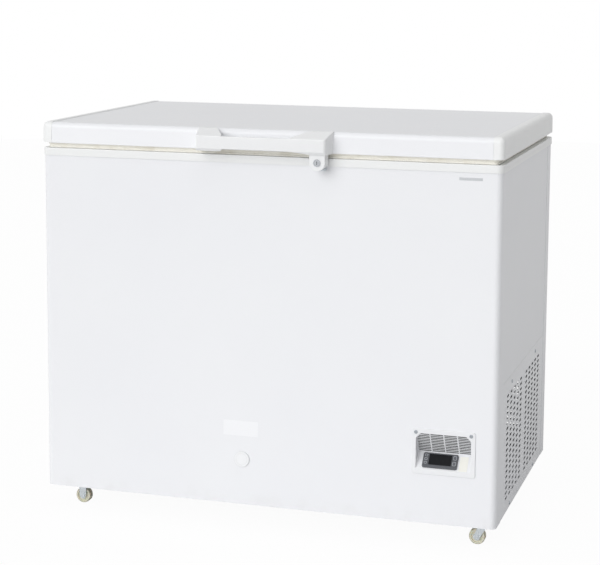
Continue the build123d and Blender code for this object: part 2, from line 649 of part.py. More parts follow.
def build_insulation():
    flange = slab(CHAMBER_HALF + LINER_FLANGE, CHAMBER_FRONT - LINER_FLANGE, CHAMBER_REAR + LINER_FLANGE,
                  Z_RIM - LINER_SHEET, Z_RIM, LINER_CORNER + LINER_FLANGE)
    coil_grow = LINER_SHEET + 2 * TUBE + 2 * REST_GAP
    coil_low = Z_BASE + EVAPORATOR_START - 2 * TUBE
    coil_high = Z_BASE + EVAPORATOR_START + EVAPORATOR_TURNS * EVAPORATOR_PITCH + 2 * TUBE
    coil_room = slab(CHAMBER_HALF + coil_grow, CHAMBER_FRONT - coil_grow, CHAMBER_REAR + coil_grow,
                     coil_low, coil_high, LINER_CORNER + coil_grow)
    foam = slab(SIDE_IN, Y_FRONT + SHEET, Y_REAR - SHEET, Z_PAN, Z_RIM, CASE_CORNER)
    foam -= chamber(LINER_SHEET, Z_RIM)
    foam -= flange
    foam -= coil_room
    foam -= box(BAY_X, HALF, Y_FRONT, Y_REAR, Z_BASE, BAY_Z)
    foam -= nodes["base_pan"][0]
    drain = drain_solid(DRAIN_BORE + DRAIN_WALL)
    drain += rod_y(DRAIN_X, Z_BASE + DRAIN_Z, Y_FRONT + SHEET, Y_FRONT + SHEET + DRAIN_WALL, DRAIN_FLANGE)
    foam -= drain
    for x, z in strike_screw_places():
        foam -= rod_y(x, z, Y_FRONT, Y_FRONT + SCREW_LENGTH, SCREW)
    for x, z in hinge_base_screws():
        foam -= rod_y(x, z, Y_REAR - SCREW_LENGTH, Y_REAR, SCREW)
    for x, y in caster_bolt_places():
        foam -= post(x, y, Z_PAN, Z_PAN + CASTER_BOLT_LENGTH, CASTER_BOLT + FIT_GAP)
    save("cabinet_insulation", foam)
    save("drain_tube", drain - drain_solid(DRAIN_BORE))

    liner = chamber(LINER_SHEET, Z_RIM) + flange - chamber(0, Z_RIM)
    liner -= post(DRAIN_X, Y_FRONT + DRAIN_REACH, CHAMBER_FLOOR - 2 * LINER_SHEET, CHAMBER_FLOOR + 1,
                  DRAIN_BORE)
    save("inner_liner", liner)

    y0 = Y_FRONT + SHEET + PAN_SHEET
    y1 = Y_REAR - SHEET - PAN_SHEET
    lining = slab(SIDE_IN - PAN_SHEET, y0, y1, Z_PAN, BAY_Z, CASE_CORNER - PAN_SHEET)
    lining &= box(BAY_X, HALF, y0, y1, Z_PAN, BAY_Z)
    save("machine_bay_lining", lining - box(BAY_WALL, SIDE_IN, y0 - 1, y1 + 1, Z_BASE, BAY_Z - SHEET))

    collar = slab(HALF + COLLAR_PROUD, Y_FRONT - COLLAR_PROUD, Y_REAR + COLLAR_PROUD, Z_CASE, Z_COLLAR,
                  CASE_CORNER + COLLAR_PROUD)
    collar = fillet(collar.faces().sort_by(Axis.Z)[-1].edges(), COLLAR_PROUD)
    collar -= slab(SIDE_IN, Y_FRONT + SHEET, Y_REAR - SHEET, Z_CASE, Z_RIM, CASE_CORNER)
    collar -= slab(CHAMBER_HALF, CHAMBER_FRONT, CHAMBER_REAR, Z_RIM, Z_COLLAR, LINER_CORNER)
    save("top_collar", collar)

    gap = LINER_SHEET + TUBE + REST_GAP
    x = CHAMBER_HALF + gap
    front = CHAMBER_FRONT - gap
    rear = CHAMBER_REAR + gap
    start = Z_BASE + EVAPORATOR_START
    points = [(0, rear, start)]
    for turn in range(EVAPORATOR_TURNS):
        z = start + turn * EVAPORATOR_PITCH
        points += [(-x, rear, z), (-x, front, z), (x, front, z), (x, rear, z + EVAPORATOR_PITCH / 2)]
    points.append((0, rear, start + EVAPORATOR_TURNS * EVAPORATOR_PITCH))
    save("evaporator_coil", tube_along(points, LINER_CORNER + gap, TUBE))

    clip_x0 = SENSOR_X - CLIP_WIDTH / 2
    clip_x1 = SENSOR_X + CLIP_WIDTH / 2
    sensor_y = CHAMBER_REAR - SENSOR_OFFSET
    sensor_z = Z_BASE + SENSOR_Z
    clip = box(clip_x0, clip_x1, CHAMBER_REAR - CLIP_SHEET, CHAMBER_REAR, sensor_z - CLIP_HEIGHT / 2,
               sensor_z + CLIP_HEIGHT / 2)
    clip += box(clip_x0, clip_x1, sensor_y, CHAMBER_REAR, sensor_z - CLIP_WIDTH / 2, sensor_z + CLIP_WIDTH / 2)
    bulb = post(SENSOR_X, sensor_y, sensor_z - SENSOR_LENGTH / 2, sensor_z + SENSOR_LENGTH / 2, SENSOR_RADIUS)
    save("chamber_sensor", clip + bulb)


# Lid
def lid_outline(inset, drop):
    """End view of the lid with leaning sides and round upper edges."""
    top = Z_TOP - drop
    shape = make_face(Polyline(
        (LID_FRONT + inset, Z_LID),
        (LID_FRONT + inset + LID_LEAN, top),
        (LID_REAR - inset - LID_LEAN, top),
        (LID_REAR - inset, Z_LID),
        close=True,
    ))
    return fillet(shape.vertices().group_by(Axis.Y)[-1], LID_ROUND - inset)


def lid_block(x0, x1, inset, drop):
    """Length of the lid's end view along X."""
    return extrude(Plane.YZ.offset(x0) * lid_outline(inset, drop), x1 - x0)


def cap_block(side, inset):
    """End of the lid with its outer edges rounded and a fine groove along its seam."""
    block = lid_block(CAP_SEAM, LID_HALF - inset, inset, inset)
    rim = [e for e in block.faces().sort_by(Axis.X)[-1].edges() if e.center().Z > Z_LID + 1]
    block = fillet(rim, CAP_ROUND - inset)
    if inset == 0:
        core = lid_block(CAP_SEAM, CAP_SEAM + CAP_GROOVE, CAP_GROOVE, CAP_GROOVE)
        block -= lid_block(CAP_SEAM, CAP_SEAM + CAP_GROOVE, 0, 0) - core
    return block if side > 0 else mirror(block, Plane.YZ)


def handle_screws():
    """(x, z) of the two screws that hold the handle from inside the lid."""
    z = Z_LID + LID_HEIGHT / 2
    return [(HANDLE_LEFT + GRIP_END_LEFT / 2, z), (HANDLE_RIGHT - GRIP_END_RIGHT / 2, z)]


def leaf_screws():
    """(x, z) of the screws of both hinge leaves."""
    return [
        (x + side * HINGE_SCREW_SPREAD / 2, Z_LID + LEAF_SCREW_Z)
        for x in hinge_centres()
        for side in (-1, 1)
    ]


def lid_face_y(z):
    """Y of the lid's leaning front face at a height."""
    return LID_FRONT + LID_LEAN * (z - Z_LID) / (Z_SKIN - Z_LID)


def build_lid():
    skin = lid_block(-CAP_SEAM, CAP_SEAM, 0, CAP_PROUD)
    filling = lid_block(-CAP_SEAM, CAP_SEAM, LID_SHEET, CAP_PROUD + LID_SHEET)
    skin -= filling
    reach = SCREW_LENGTH + LID_LEAN
    for x, z in leaf_screws():
        skin -= rod_y(x, z, LID_REAR - reach, LID_REAR + 1, SCREW + FIT_GAP)
    for x, z in handle_screws():
        skin -= rod_y(x, z, LID_FRONT - 1, LID_FRONT + reach, SCREW + FIT_GAP)
    save("lid_skin", skin)
    for name, side in (("lid_cap_left", -1), ("lid_cap_right", 1)):
        save(name, cap_block(side, 0) - cap_block(side, CAP_WALL))

    y0 = LID_FRONT + CAP_WALL + FIT_GAP
    y1 = LID_REAR - CAP_WALL - FIT_GAP
    panel = slab(LID_HALF - CAP_WALL - FIT_GAP, y0, y1, Z_LID, Z_LID + INNER_SHEET, LINER_CORNER)
    half = CHAMBER_HALF - PLUG_GAP
    front = CHAMBER_FRONT + PLUG_GAP
    rear = CHAMBER_REAR - PLUG_GAP
    low = Z_LID - PLUG_DROP
    plug = slab(half, front, rear, low, Z_LID, LINER_CORNER)
    plug = fillet(plug.faces().sort_by(Axis.Z)[0].edges(), 3 * INNER_SHEET)
    hollow = slab(half - INNER_SHEET, front + INNER_SHEET, rear - INNER_SHEET, low + INNER_SHEET,
                  Z_LID + INNER_SHEET, LINER_CORNER - INNER_SHEET)
    hollow = fillet(hollow.faces().sort_by(Axis.Z)[0].edges(), 2 * INNER_SHEET)
    save("lid_inner_panel", panel + plug - hollow)
    foam = filling - box(-HALF, HALF, LID_FRONT, LID_REAR, Z_LID - 1, Z_LID + INNER_SHEET) + hollow
    for x, z in leaf_screws():
        foam -= rod_y(x, z, LID_REAR - reach, LID_REAR, SCREW)
    for x, z in handle_screws():
        foam -= rod_y(x, z, LID_FRONT, LID_FRONT + reach, SCREW_HEAD + FIT_GAP)
    save("lid_insulation", foam)

    ring_y0 = Y_FRONT + GASKET_INSET_Y
    ring_y1 = Y_REAR - GASKET_INSET_Y
    ring = slab(HALF - GASKET_INSET_X, ring_y0, ring_y1, Z_COLLAR + REST_GAP, Z_LID, GASKET_CORNER)
    ring -= slab(HALF - GASKET_INSET_X - GASKET_WIDTH, ring_y0 + GASKET_WIDTH, ring_y1 - GASKET_WIDTH,
                 Z_COLLAR, Z_LID, GASKET_CORNER / 3)
    save("lid_gasket", ring)


# Handle, lock and drain cap
def build_handle():
    front = Y_FRONT - HANDLE_REACH
    back = LID_FRONT + LID_ROUND + LID_LEAN
    half_back = HANDLE_HALF + HANDLE_FLARE
    bend_x = HANDLE_HALF + HANDLE_FLARE_BEND
    bend_y = (front + LID_FRONT) / 2
    edge = Line((-HANDLE_HALF, front), (HANDLE_HALF, front))
    right = ThreePointArc((HANDLE_HALF, front), (bend_x, bend_y), (half_back, LID_FRONT))
    rear = Polyline((half_back, LID_FRONT), (half_back, back), (-half_back, back), (-half_back, LID_FRONT))
    left = ThreePointArc((-half_back, LID_FRONT), (-bend_x, bend_y), (-HANDLE_HALF, front))
    plan = make_face([*edge.edges(), *right.edges(), *rear.edges(), *left.edges()])
    plan = fillet(plan.vertices().group_by(Axis.Y)[0], HANDLE_CORNER)
    body = extrude(Plane.XY.offset(HANDLE_LOW) * plan, Z_TOP - HANDLE_LOW)
    roof = Z_TOP - HANDLE_FRONT_DROP
    body -= plate_yz([(front - 1, roof), (LID_FRONT + LID_LEAN, Z_SKIN), (back + 1, Z_SKIN),
                      (back + 1, Z_TOP + 1), (front - 1, Z_TOP + 1)], -half_back - 1, half_back + 1)
    brow = [e for e in body.edges() if abs(e.center().Y - front) < 0.1 and e.center().Z > roof - 1
            and e.length > HANDLE_HALF]
    body = Pos(HANDLE_X, 0) * fillet(brow, HANDLE_EDGE)
    chin = HANDLE_LOW + ARCH_RISE
    body -= plate_yz([(front - 1, HANDLE_LOW - 1), (front - 1, chin), (front, chin),
                      (front + CHIN_DEPTH, HANDLE_LOW), (front + CHIN_DEPTH, HANDLE_LOW - 1)],
                     HANDLE_LEFT - half_back, HANDLE_RIGHT + half_back)
    grip_left = HANDLE_LEFT + GRIP_END_LEFT
    grip_right = HANDLE_RIGHT - GRIP_END_RIGHT
    grip = make_face(Polyline(
        (grip_left + GRIP_RUN_LEFT, front + BAR_THICKNESS),
        (grip_right - GRIP_RUN_RIGHT, front + BAR_THICKNESS),
        (grip_right, back + 1), (grip_left, back + 1), close=True))
    body -= extrude(Plane.XY.offset(HANDLE_LOW - 1) * grip, LID_HEIGHT + 2 * HANDLE_DROP + 1)
    body -= box(grip_left + GRIP_RUN_LEFT, grip_right - GRIP_RUN_RIGHT, front - 1, front + BAR_THICKNESS,
                roof, Z_TOP)
    arch_left = HANDLE_LEFT + ARCH_END_LEFT
    arch_right = HANDLE_RIGHT - ARCH_END_RIGHT
    body -= plate_xz([(arch_left, HANDLE_LOW - 1), (arch_left, HANDLE_LOW), (arch_left + ARCH_RUN_LEFT, chin),
                      (arch_right - ARCH_RUN_RIGHT, chin), (arch_right, HANDLE_LOW),
                      (arch_right, HANDLE_LOW - 1)], front - 1, back + 1)
    body -= lid_block(-CAP_SEAM, CAP_SEAM, 0, CAP_PROUD)
    body -= box(HANDLE_LEFT - half_back, HANDLE_RIGHT + half_back, LID_FRONT, back + 1, HANDLE_LOW - 1, Z_LID)
    for x, z in handle_screws():
        body -= rod_y(x, z, LID_FRONT - SCREW_LENGTH, LID_FRONT + LID_ROUND, SCREW)
    save("handle", body)

    outline = Pos(LOCK_X, LOCK_Z) * Circle(LOCK_HALF)
    outline += Pos(LOCK_X, (LOCK_Z + HANDLE_LOW) / 2) * Rectangle(2 * LOCK_HALF, HANDLE_LOW - LOCK_Z)
    housing = extrude(Plane.XZ.offset(-LOCK_TAIL) * outline, LOCK_TAIL - LOCK_FACE)
    rim = [e for e in housing.faces().sort_by(Axis.Y)[0].edges() if e.center().Z < HANDLE_LOW - 1]
    housing = fillet(rim, LOCK_EDGE)
    inner = LOCK_HALF - LOCK_WALL
    housing -= rod_y(LOCK_X, LOCK_Z, LOCK_INSIDE, LOCK_TAIL, inner)
    housing -= box(LOCK_X - inner, LOCK_X + inner, LOCK_INSIDE, LOCK_TAIL, LOCK_Z, HANDLE_LOW - LOCK_WALL)
    housing -= box(STRIKE_X - STRIKE_SIDE_GAP, LOCK_X + STRIKE_RIGHT + STRIKE_SIDE_GAP, LOCK_INSIDE, LOCK_TAIL,
                   LOCK_Z - LOCK_HALF - 1, LOCK_Z)
    housing -= rod_y(LOCK_X, LOCK_Z, LOCK_FACE - 1, LOCK_INSIDE, LOCK_PLUG + PIN_GAP)
    save("lock_housing", housing)

    rim_y = LOCK_FACE - REST_GAP
    cylinder = rod_y(LOCK_X, LOCK_Z, rim_y, CAM_BACK, LOCK_PLUG)
    cylinder += rod_y(LOCK_X, LOCK_Z, rim_y - LOCK_RIM_HEIGHT, rim_y, LOCK_RIM)
    cam_z = LOCK_Z - CAM_LENGTH + CAM_HALF
    cylinder += rod_y(LOCK_X, cam_z, CAM_BACK - CAM_THICKNESS, CAM_BACK, CAM_HALF)
    cylinder += box(LOCK_X - CAM_HALF, LOCK_X + CAM_HALF, CAM_BACK - CAM_THICKNESS, CAM_BACK, cam_z, LOCK_Z)
    cylinder -= box(LOCK_X - LOCK_KEYWAY / 2, LOCK_X + LOCK_KEYWAY / 2, rim_y - LOCK_RIM_HEIGHT - 1,
                    LOCK_FACE + LOCK_KEYWAY_DEPTH, LOCK_Z - LOCK_KEYWAY_HEIGHT / 2,
                    LOCK_Z + LOCK_KEYWAY_HEIGHT / 2)
    save("lock_cylinder", cylinder)

    plate_y = Y_FRONT - STRIKE_PLATE
    strike = box(LOCK_X + STRIKE_RIGHT - STRIKE_WIDTH, LOCK_X + STRIKE_RIGHT, plate_y, Y_FRONT, STRIKE_LOW,
                 Z_CASE)
    strike += box(STRIKE_X, LOCK_X + STRIKE_RIGHT, plate_y - STRIKE_PLATE, plate_y,
                  Z_CASE - STRIKE_LAP, TONGUE_Z + STRIKE_SHEET)
    strike += box(STRIKE_X, LOCK_X + STRIKE_RIGHT, LOCK_INSIDE + STRIKE_TIP_GAP, plate_y, TONGUE_Z,
                  TONGUE_Z + STRIKE_SHEET)
    for x, z in strike_screw_places():
        strike -= rod_y(x, z, plate_y - 1, Y_FRONT + 1, SCREW + FIT_GAP)
    save("lock_strike", strike)

    drain_z = Z_BASE + DRAIN_Z
    cap = rod_y(DRAIN_X, drain_z, Y_FRONT - DRAIN_CAP_THICKNESS, Y_FRONT, DRAIN_CAP_RADIUS)
    cap = fillet(cap.edges().sort_by(Axis.Y)[0], DRAIN_CAP_THICKNESS / 3)
    save("drain_cap", cap + rod_y(DRAIN_X, drain_z, Y_FRONT - 1, Y_FRONT + DRAIN_STEM_LENGTH,
                                  DRAIN_BORE - REST_GAP))


# Hinges
def hinge_centres():
    """X of each hinge."""
    return [-HINGE_SPREAD / 2, HINGE_SPREAD / 2]


def hinge_base_screws():
    """(x, z) of the screws of both hinge bases."""
    return [
        (x + side * HINGE_SCREW_SPREAD / 2, Z_CASE - HINGE_BASE_HEIGHT + height)
        for x in hinge_centres()
        for side in (-1, 1)
        for height in HINGE_SCREW_ROWS
    ]


def hinge_base(x):
    """Plate on the rear panel with two ears that hold the pin."""
    half = HINGE_WIDTH / 2
    low = Z_CASE - HINGE_BASE_HEIGHT
    high = Z_CASE - HINGE_BASE_TOP_GAP
    clear = Y_REAR + COLLAR_PROUD + 1
    base = box(x - half, x + half, Y_REAR, Y_REAR + HINGE_SHEET, low, high)
    for ear_x in (x - half, x + half - HINGE_SHEET):
        base += plate_yz([(Y_REAR, low), (Y_REAR, high), (clear, high), (HINGE_Y - HINGE_EAR, HINGE_Z),
                          (HINGE_Y + HINGE_EAR, HINGE_Z), (HINGE_Y + HINGE_EAR, HINGE_Z - HINGE_EAR),
                          (Y_REAR + 2 * HINGE_SHEET, low)], ear_x, ear_x + HINGE_SHEET)
        base += rod_x(HINGE_Y, HINGE_Z, ear_x, ear_x + HINGE_SHEET, HINGE_EAR)
    base -= rod_x(HINGE_Y, HINGE_Z, x - half - 1, x + half + 1, HINGE_PIN)
    for screw_x, z in hinge_base_screws():
        base -= rod_y(screw_x, z, Y_REAR - 1, Y_REAR + HINGE_SHEET + 1, SCREW + FIT_GAP)
    return base


def hinge_leaf(x):
    """Plate on the lid's rear with the knuckle that turns on the pin."""
    half = HINGE_WIDTH / 2
    left = x + HINGE_KNUCKLE_START
    right = x + half - HINGE_SHEET - REST_GAP
    step = Z_LID + HINGE_LEAF_STEP
    high = Z_LID + HINGE_LEAF_HEIGHT
    back = LEAF_Y + HINGE_SHEET
    knuckle_top = HINGE_Z + HINGE_KNUCKLE
    leaf = box(left, right, LEAF_Y, back, Z_LID, high) + box(x - half, x + half, LEAF_Y, back, step, high)
    leaf += box(left, right, LEAF_Y, HINGE_Y, knuckle_top - HINGE_SHEET, knuckle_top)
    leaf += rod_x(HINGE_Y, HINGE_Z, left, right, HINGE_KNUCKLE)
    leaf -= rod_x(HINGE_Y, HINGE_Z, x - half, x + half, HINGE_PIN + PIN_GAP)
    packing = box(x - half, x + half, LID_REAR - LID_LEAN - 1, LEAF_Y, step, high)
    leaf += packing - lid_block(-CAP_SEAM, CAP_SEAM, 0, CAP_PROUD)
    for screw_x, z in leaf_screws():
        leaf -= rod_y(screw_x, z, LID_REAR - LID_LEAN - 1, back + 1, SCREW + FIT_GAP)
    return leaf


def hinge_spring(x):
    """Closely wound torsion spring round the pin, beside the knuckle."""
    wires = [Pos(turn * SPRING_STEP, SPRING_RADIUS) * Circle(SPRING_WIRE) for turn in range(SPRING_TURNS)]
    profile = wires[0]
    for wire in wires[1:]:
        profile += wire
    start = x - HINGE_WIDTH / 2 + HINGE_SHEET + SPRING_WIRE + REST_GAP
    return Pos(start, HINGE_Y, HINGE_Z) * revolve(profile, Axis.X)


def build_hinges():
    centres = hinge_centres()
    half = HINGE_WIDTH / 2
    pins = [rod_x(HINGE_Y, HINGE_Z, x - half, x + half, HINGE_PIN) for x in centres]
    save("hinge_bases", *[hinge_base(x) for x in centres], *pins)
    save("hinge_leaves", *[hinge_leaf(x) for x in centres])
    save("hinge_springs", *[hinge_spring(x) for x in centres])
    save("hinge_screws", *[
        Pos(x, Y_REAR + HINGE_SHEET, z) * FACING_REAR * screw() for x, z in hinge_base_screws()
    ])
    lid_screws = [Pos(x, LEAF_Y + HINGE_SHEET, z) * FACING_REAR * screw() for x, z in leaf_screws()]
    lid_screws += [
        Pos(x, lid_face_y(z) + LID_SHEET + 2 * FIT_GAP, z) * FACING_REAR * screw()
        for x, z in handle_screws()
    ]
    save("lid_screws", *lid_screws)


# Casters
def caster_centres():
    """(x, y, swivels) of each caster's plate."""
    rows = (Y_FRONT + CASTER_INSET_Y, Y_REAR - CASTER_INSET_Y)
    rigid = [(-HALF + RIGID_INSET_X, y, False) for y in rows]
    return rigid + [(HALF - SWIVEL_INSET_X, y, True) for y in rows]


def caster_bolt_places():
    """(x, y) of every caster bolt."""
    return [
        (x + sx * CASTER_BOLT_X / 2, y + sy * CASTER_BOLT_Y / 2)
        for x, y, swivels in caster_centres()
        for sx in (-1, 1)
        for sy in (-1, 1)
    ]


def caster_plate(x, y):
    """Bolted plate with four holes."""
    outline = Pos(x, y) * RectangleRounded(CASTER_PLATE_LENGTH, CASTER_PLATE_WIDTH, CASTER_PLATE_CORNER)
    outline -= [Pos(*place) * Circle(CASTER_BOLT + FIT_GAP) for place in caster_bolt_places()]
    return extrude(Plane.XY.offset(Z_BASE - CASTER_PLATE_SHEET) * outline, CASTER_PLATE_SHEET)


def fork_leg(x, y, top_x, top):
    """Leg that tapers from the crown to the axle."""
    leg = plate_xz([(top_x, top), (top_x + FORK_TOP, top), (x + FORK_FOOT, WHEEL_RADIUS),
                    (x - FORK_FOOT, WHEEL_RADIUS)], y, y + FORK_SHEET)
    leg += rod_y(x, WHEEL_RADIUS, y, y + FORK_SHEET, FORK_FOOT)
    return leg - rod_y(x, WHEEL_RADIUS, y - 1, y + FORK_SHEET + 1, AXLE)


def fork_legs(x, y, top_x, top):
    """Both legs of a fork."""
    inner = WHEEL_WIDTH / 2 + WHEEL_SIDE_GAP
    return fork_leg(x, y - inner - FORK_SHEET, top_x, top) + fork_leg(x, y + inner, top_x, top)


def axle_rivet(x, y):
    """Riveted axle through both legs."""
    outer = WHEEL_WIDTH / 2 + WHEEL_SIDE_GAP + FORK_SHEET
    rivet = rod_y(x, WHEEL_RADIUS, y - outer - AXLE_HEAD_HEIGHT, y - outer, AXLE_HEAD)
    rivet += rod_y(x, WHEEL_RADIUS, y + outer, y + outer + AXLE_HEAD_HEIGHT, AXLE_HEAD)
    return rivet + rod_y(x, WHEEL_RADIUS, y - outer, y + outer, AXLE)


def wheel(x, y):
    """Moulded wheel with a rounded tread and dished sides."""
    half = WHEEL_WIDTH / 2
    body = rod_y(x, WHEEL_RADIUS, y - half, y + half, WHEEL_RADIUS)
    body = fillet(body.edges().filter_by(GeomType.CIRCLE), WHEEL_EDGE)
    for y0 in (y - half, y + half - WHEEL_EDGE):
        dish = rod_y(x, WHEEL_RADIUS, y0, y0 + WHEEL_EDGE, WHEEL_RIM)
        body -= dish - rod_y(x, WHEEL_RADIUS, y0, y0 + WHEEL_EDGE, WHEEL_HUB)
    return body - rod_y(x, WHEEL_RADIUS, y - WHEEL_WIDTH, y + WHEEL_WIDTH, AXLE + PIN_GAP)


def build_casters():
    rigid, plates = [], []
    under = Z_BASE - CASTER_PLATE_SHEET
    race = under - RACE_HEIGHT
    crown_top = race - REST_GAP
    crown_low = crown_top - CROWN_HEIGHT
    pin_low = crown_low - REST_GAP
    for x, y, swivels in caster_centres():
        place = "front" if y < Y_MIDDLE else "rear"
        if swivels:
            plate = caster_plate(x, y) + post(x, y, race, under, RACE_RADIUS)
            plate += post(x, y, pin_low, race, KINGPIN)
            plates.append(plate + post(x, y, pin_low - KINGPIN_HEAD_HEIGHT, pin_low, KINGPIN_HEAD))
            axle_x = x - SWIVEL_OFFSET
            fork = post(x, y, crown_low, crown_top, RACE_RADIUS)
            fork += fork_legs(axle_x, y, x - RACE_RADIUS, crown_top)
            fork -= post(x, y, crown_low - 1, crown_top + 1, KINGPIN + PIN_GAP)
            save("swivel_fork_" + place, fork, axle_rivet(axle_x, y))
            save("swivel_wheel_" + place, wheel(axle_x, y))
        else:
            rigid.append(caster_plate(x, y) + fork_legs(x, y, x - FORK_TOP / 2, under))
            rigid.append(axle_rivet(x, y))
            save("rigid_wheel_" + place, wheel(x, y))
    save("rigid_casters", *rigid)
    save("swivel_caster_plates", *plates)
    save("caster_bolts", *[
        post(x, y, under - CASTER_BOLT_HEAD_HEIGHT, under, CASTER_BOLT_HEAD)
        + post(x, y, under, Z_PAN + CASTER_BOLT_LENGTH, CASTER_BOLT)
        for x, y in caster_bolt_places()
    ])


# Refrigeration in the machine bay
def build_compressor():
    x = BAY_MIDDLE
    y = COMPRESSOR_Y
    foot = Z_PAN + GROMMET_HEIGHT
    deck = foot + FOOT_PLATE
    shell = post(x, y, deck, deck + COMPRESSOR_HEIGHT, COMPRESSOR_RADIUS)
    shell = fillet(shell.edges().filter_by(GeomType.CIRCLE), COMPRESSOR_ROUND)
    feet = [(x + sx * FOOT_SPREAD_X / 2, y + sy * FOOT_SPREAD_Y / 2) for sx in (-1, 1) for sy in (-1, 1)]
    plate = Pos(x, y) * RectangleRounded(FOOT_SPREAD_X + 2 * FOOT_MARGIN, FOOT_SPREAD_Y + 2 * FOOT_MARGIN,
                                         FOOT_MARGIN)
    plate -= [Pos(*place) * Circle(GROMMET_NECK + FIT_GAP) for place in feet]
    body = shell + extrude(Plane.XY.offset(foot) * plate, FOOT_PLATE)
    body += post(x, y, foot, foot + COMPRESSOR_ROUND, COMPRESSOR_NECK)
    save("compressor", body)
    save("compressor_grommets", *[
        post(*place, Z_PAN, foot, GROMMET) + post(*place, foot, deck, GROMMET_NECK) for place in feet
    ])
    middle = deck + COMPRESSOR_HEIGHT / 2
    side = y + COMPRESSOR_RADIUS
    cover = box(x - TERMINAL_WIDTH / 2, x + TERMINAL_WIDTH / 2, side - TERMINAL_DEPTH / 2,
                side + TERMINAL_DEPTH, middle - TERMINAL_HEIGHT / 2, middle + TERMINAL_HEIGHT / 2)
    save("compressor_terminal_cover", cover - body)


def condenser_rows():
    """Heights of the condenser's straight runs."""
    pitch = CONDENSER_HEIGHT / CONDENSER_ROWS
    return [Z_PAN + CONDENSER_LIFT + (row + 0.5) * pitch for row in range(CONDENSER_ROWS)]


def build_condenser():
    x0 = BAY_MIDDLE - CONDENSER_LENGTH / 2
    x1 = BAY_MIDDLE + CONDENSER_LENGTH / 2
    y = Y_FRONT + CONDENSER_Y
    rows = condenser_rows()
    bend = 0.49 * (rows[1] - rows[0])
    points = []
    for index, z in enumerate(rows):
        ends = (x0, x1) if index % 2 == 0 else (x1, x0)
        points += [(ends[0], y, z), (ends[1], y, z)]
    save("condenser_tubes", tube_along(points, bend, TUBE))
    high = FAN_Z + CONDENSER_HEIGHT / 2 + CONDENSER_LIFT
    fin = Pos(y, (Z_PAN + high) / 2) * Rectangle(CONDENSER_DEPTH, high - Z_PAN)
    fin -= [Pos(y, z) * Circle(TUBE) for z in rows]
    span = CONDENSER_LENGTH - 4 * bend
    save("condenser_fins", *[
        extrude(Plane.YZ.offset(BAY_MIDDLE - span / 2 + index * span / (CONDENSER_FINS - 1)) * fin, FIN_SHEET)
        for index in range(CONDENSER_FINS)
    ])

    sheet_y = SHROUD_Y + SHROUD_SHEET
    opening = FAN_RADIUS + FAN_TIP_GAP
    shroud = box(x0, x1, SHROUD_Y, sheet_y, Z_PAN, high)
    shroud += rod_y(FAN_X, FAN_Z, SHROUD_Y, sheet_y + SHROUD_RING, opening + SHROUD_SHEET)
    shroud -= rod_y(FAN_X, FAN_Z, SHROUD_Y - 1, sheet_y + SHROUD_RING + 1, opening)
    save("fan_shroud", shroud + box(x0, x1, SHROUD_Y, SHROUD_Y + SHROUD_FOOT, Z_PAN, Z_PAN + SHROUD_SHEET))

    fan_y = sheet_y + FAN_TIP_GAP
    motor_y = fan_y + FAN_DEPTH + FAN_TIP_GAP
    arm_y = motor_y + MOTOR_ARM_SHEET
    motor = rod_y(FAN_X, FAN_Z, motor_y, motor_y + MOTOR_LENGTH, MOTOR_RADIUS)
    motor += rod_y(FAN_X, FAN_Z, fan_y, motor_y, FAN_SHAFT)
    for index in range(3):
        turn = Pos(FAN_X, 0, FAN_Z) * Rot(0, 120 * index, 0)
        motor += turn * box(-MOTOR_ARM_WIDTH / 2, MOTOR_ARM_WIDTH / 2, motor_y, arm_y, 0, MOTOR_POST_RADIUS)
        motor += turn * rod_y(0, MOTOR_POST_RADIUS, sheet_y, arm_y, MOTOR_POST)
    save("fan_motor", motor)

    fan = rod_y(0, 0, fan_y, fan_y + FAN_DEPTH, FAN_HUB)
    root = FAN_HUB - 2
    blade = Pos(0, fan_y + FAN_DEPTH / 2, (root + FAN_RADIUS) / 2) * Rot(0, 0, FAN_PITCH)
    blade *= Box(FAN_CHORD, SHROUD_SHEET, FAN_RADIUS - root)
    for index in range(FAN_BLADES):
        fan += Rot(0, 360 * index / FAN_BLADES, 0) * blade
    fan &= rod_y(0, 0, fan_y, fan_y + FAN_DEPTH, FAN_RADIUS)
    fan -= rod_y(0, 0, fan_y - 1, fan_y + FAN_DEPTH + 1, FAN_SHAFT + PIN_GAP)
    save("fan_blade", Pos(FAN_X, 0, FAN_Z) * fan)


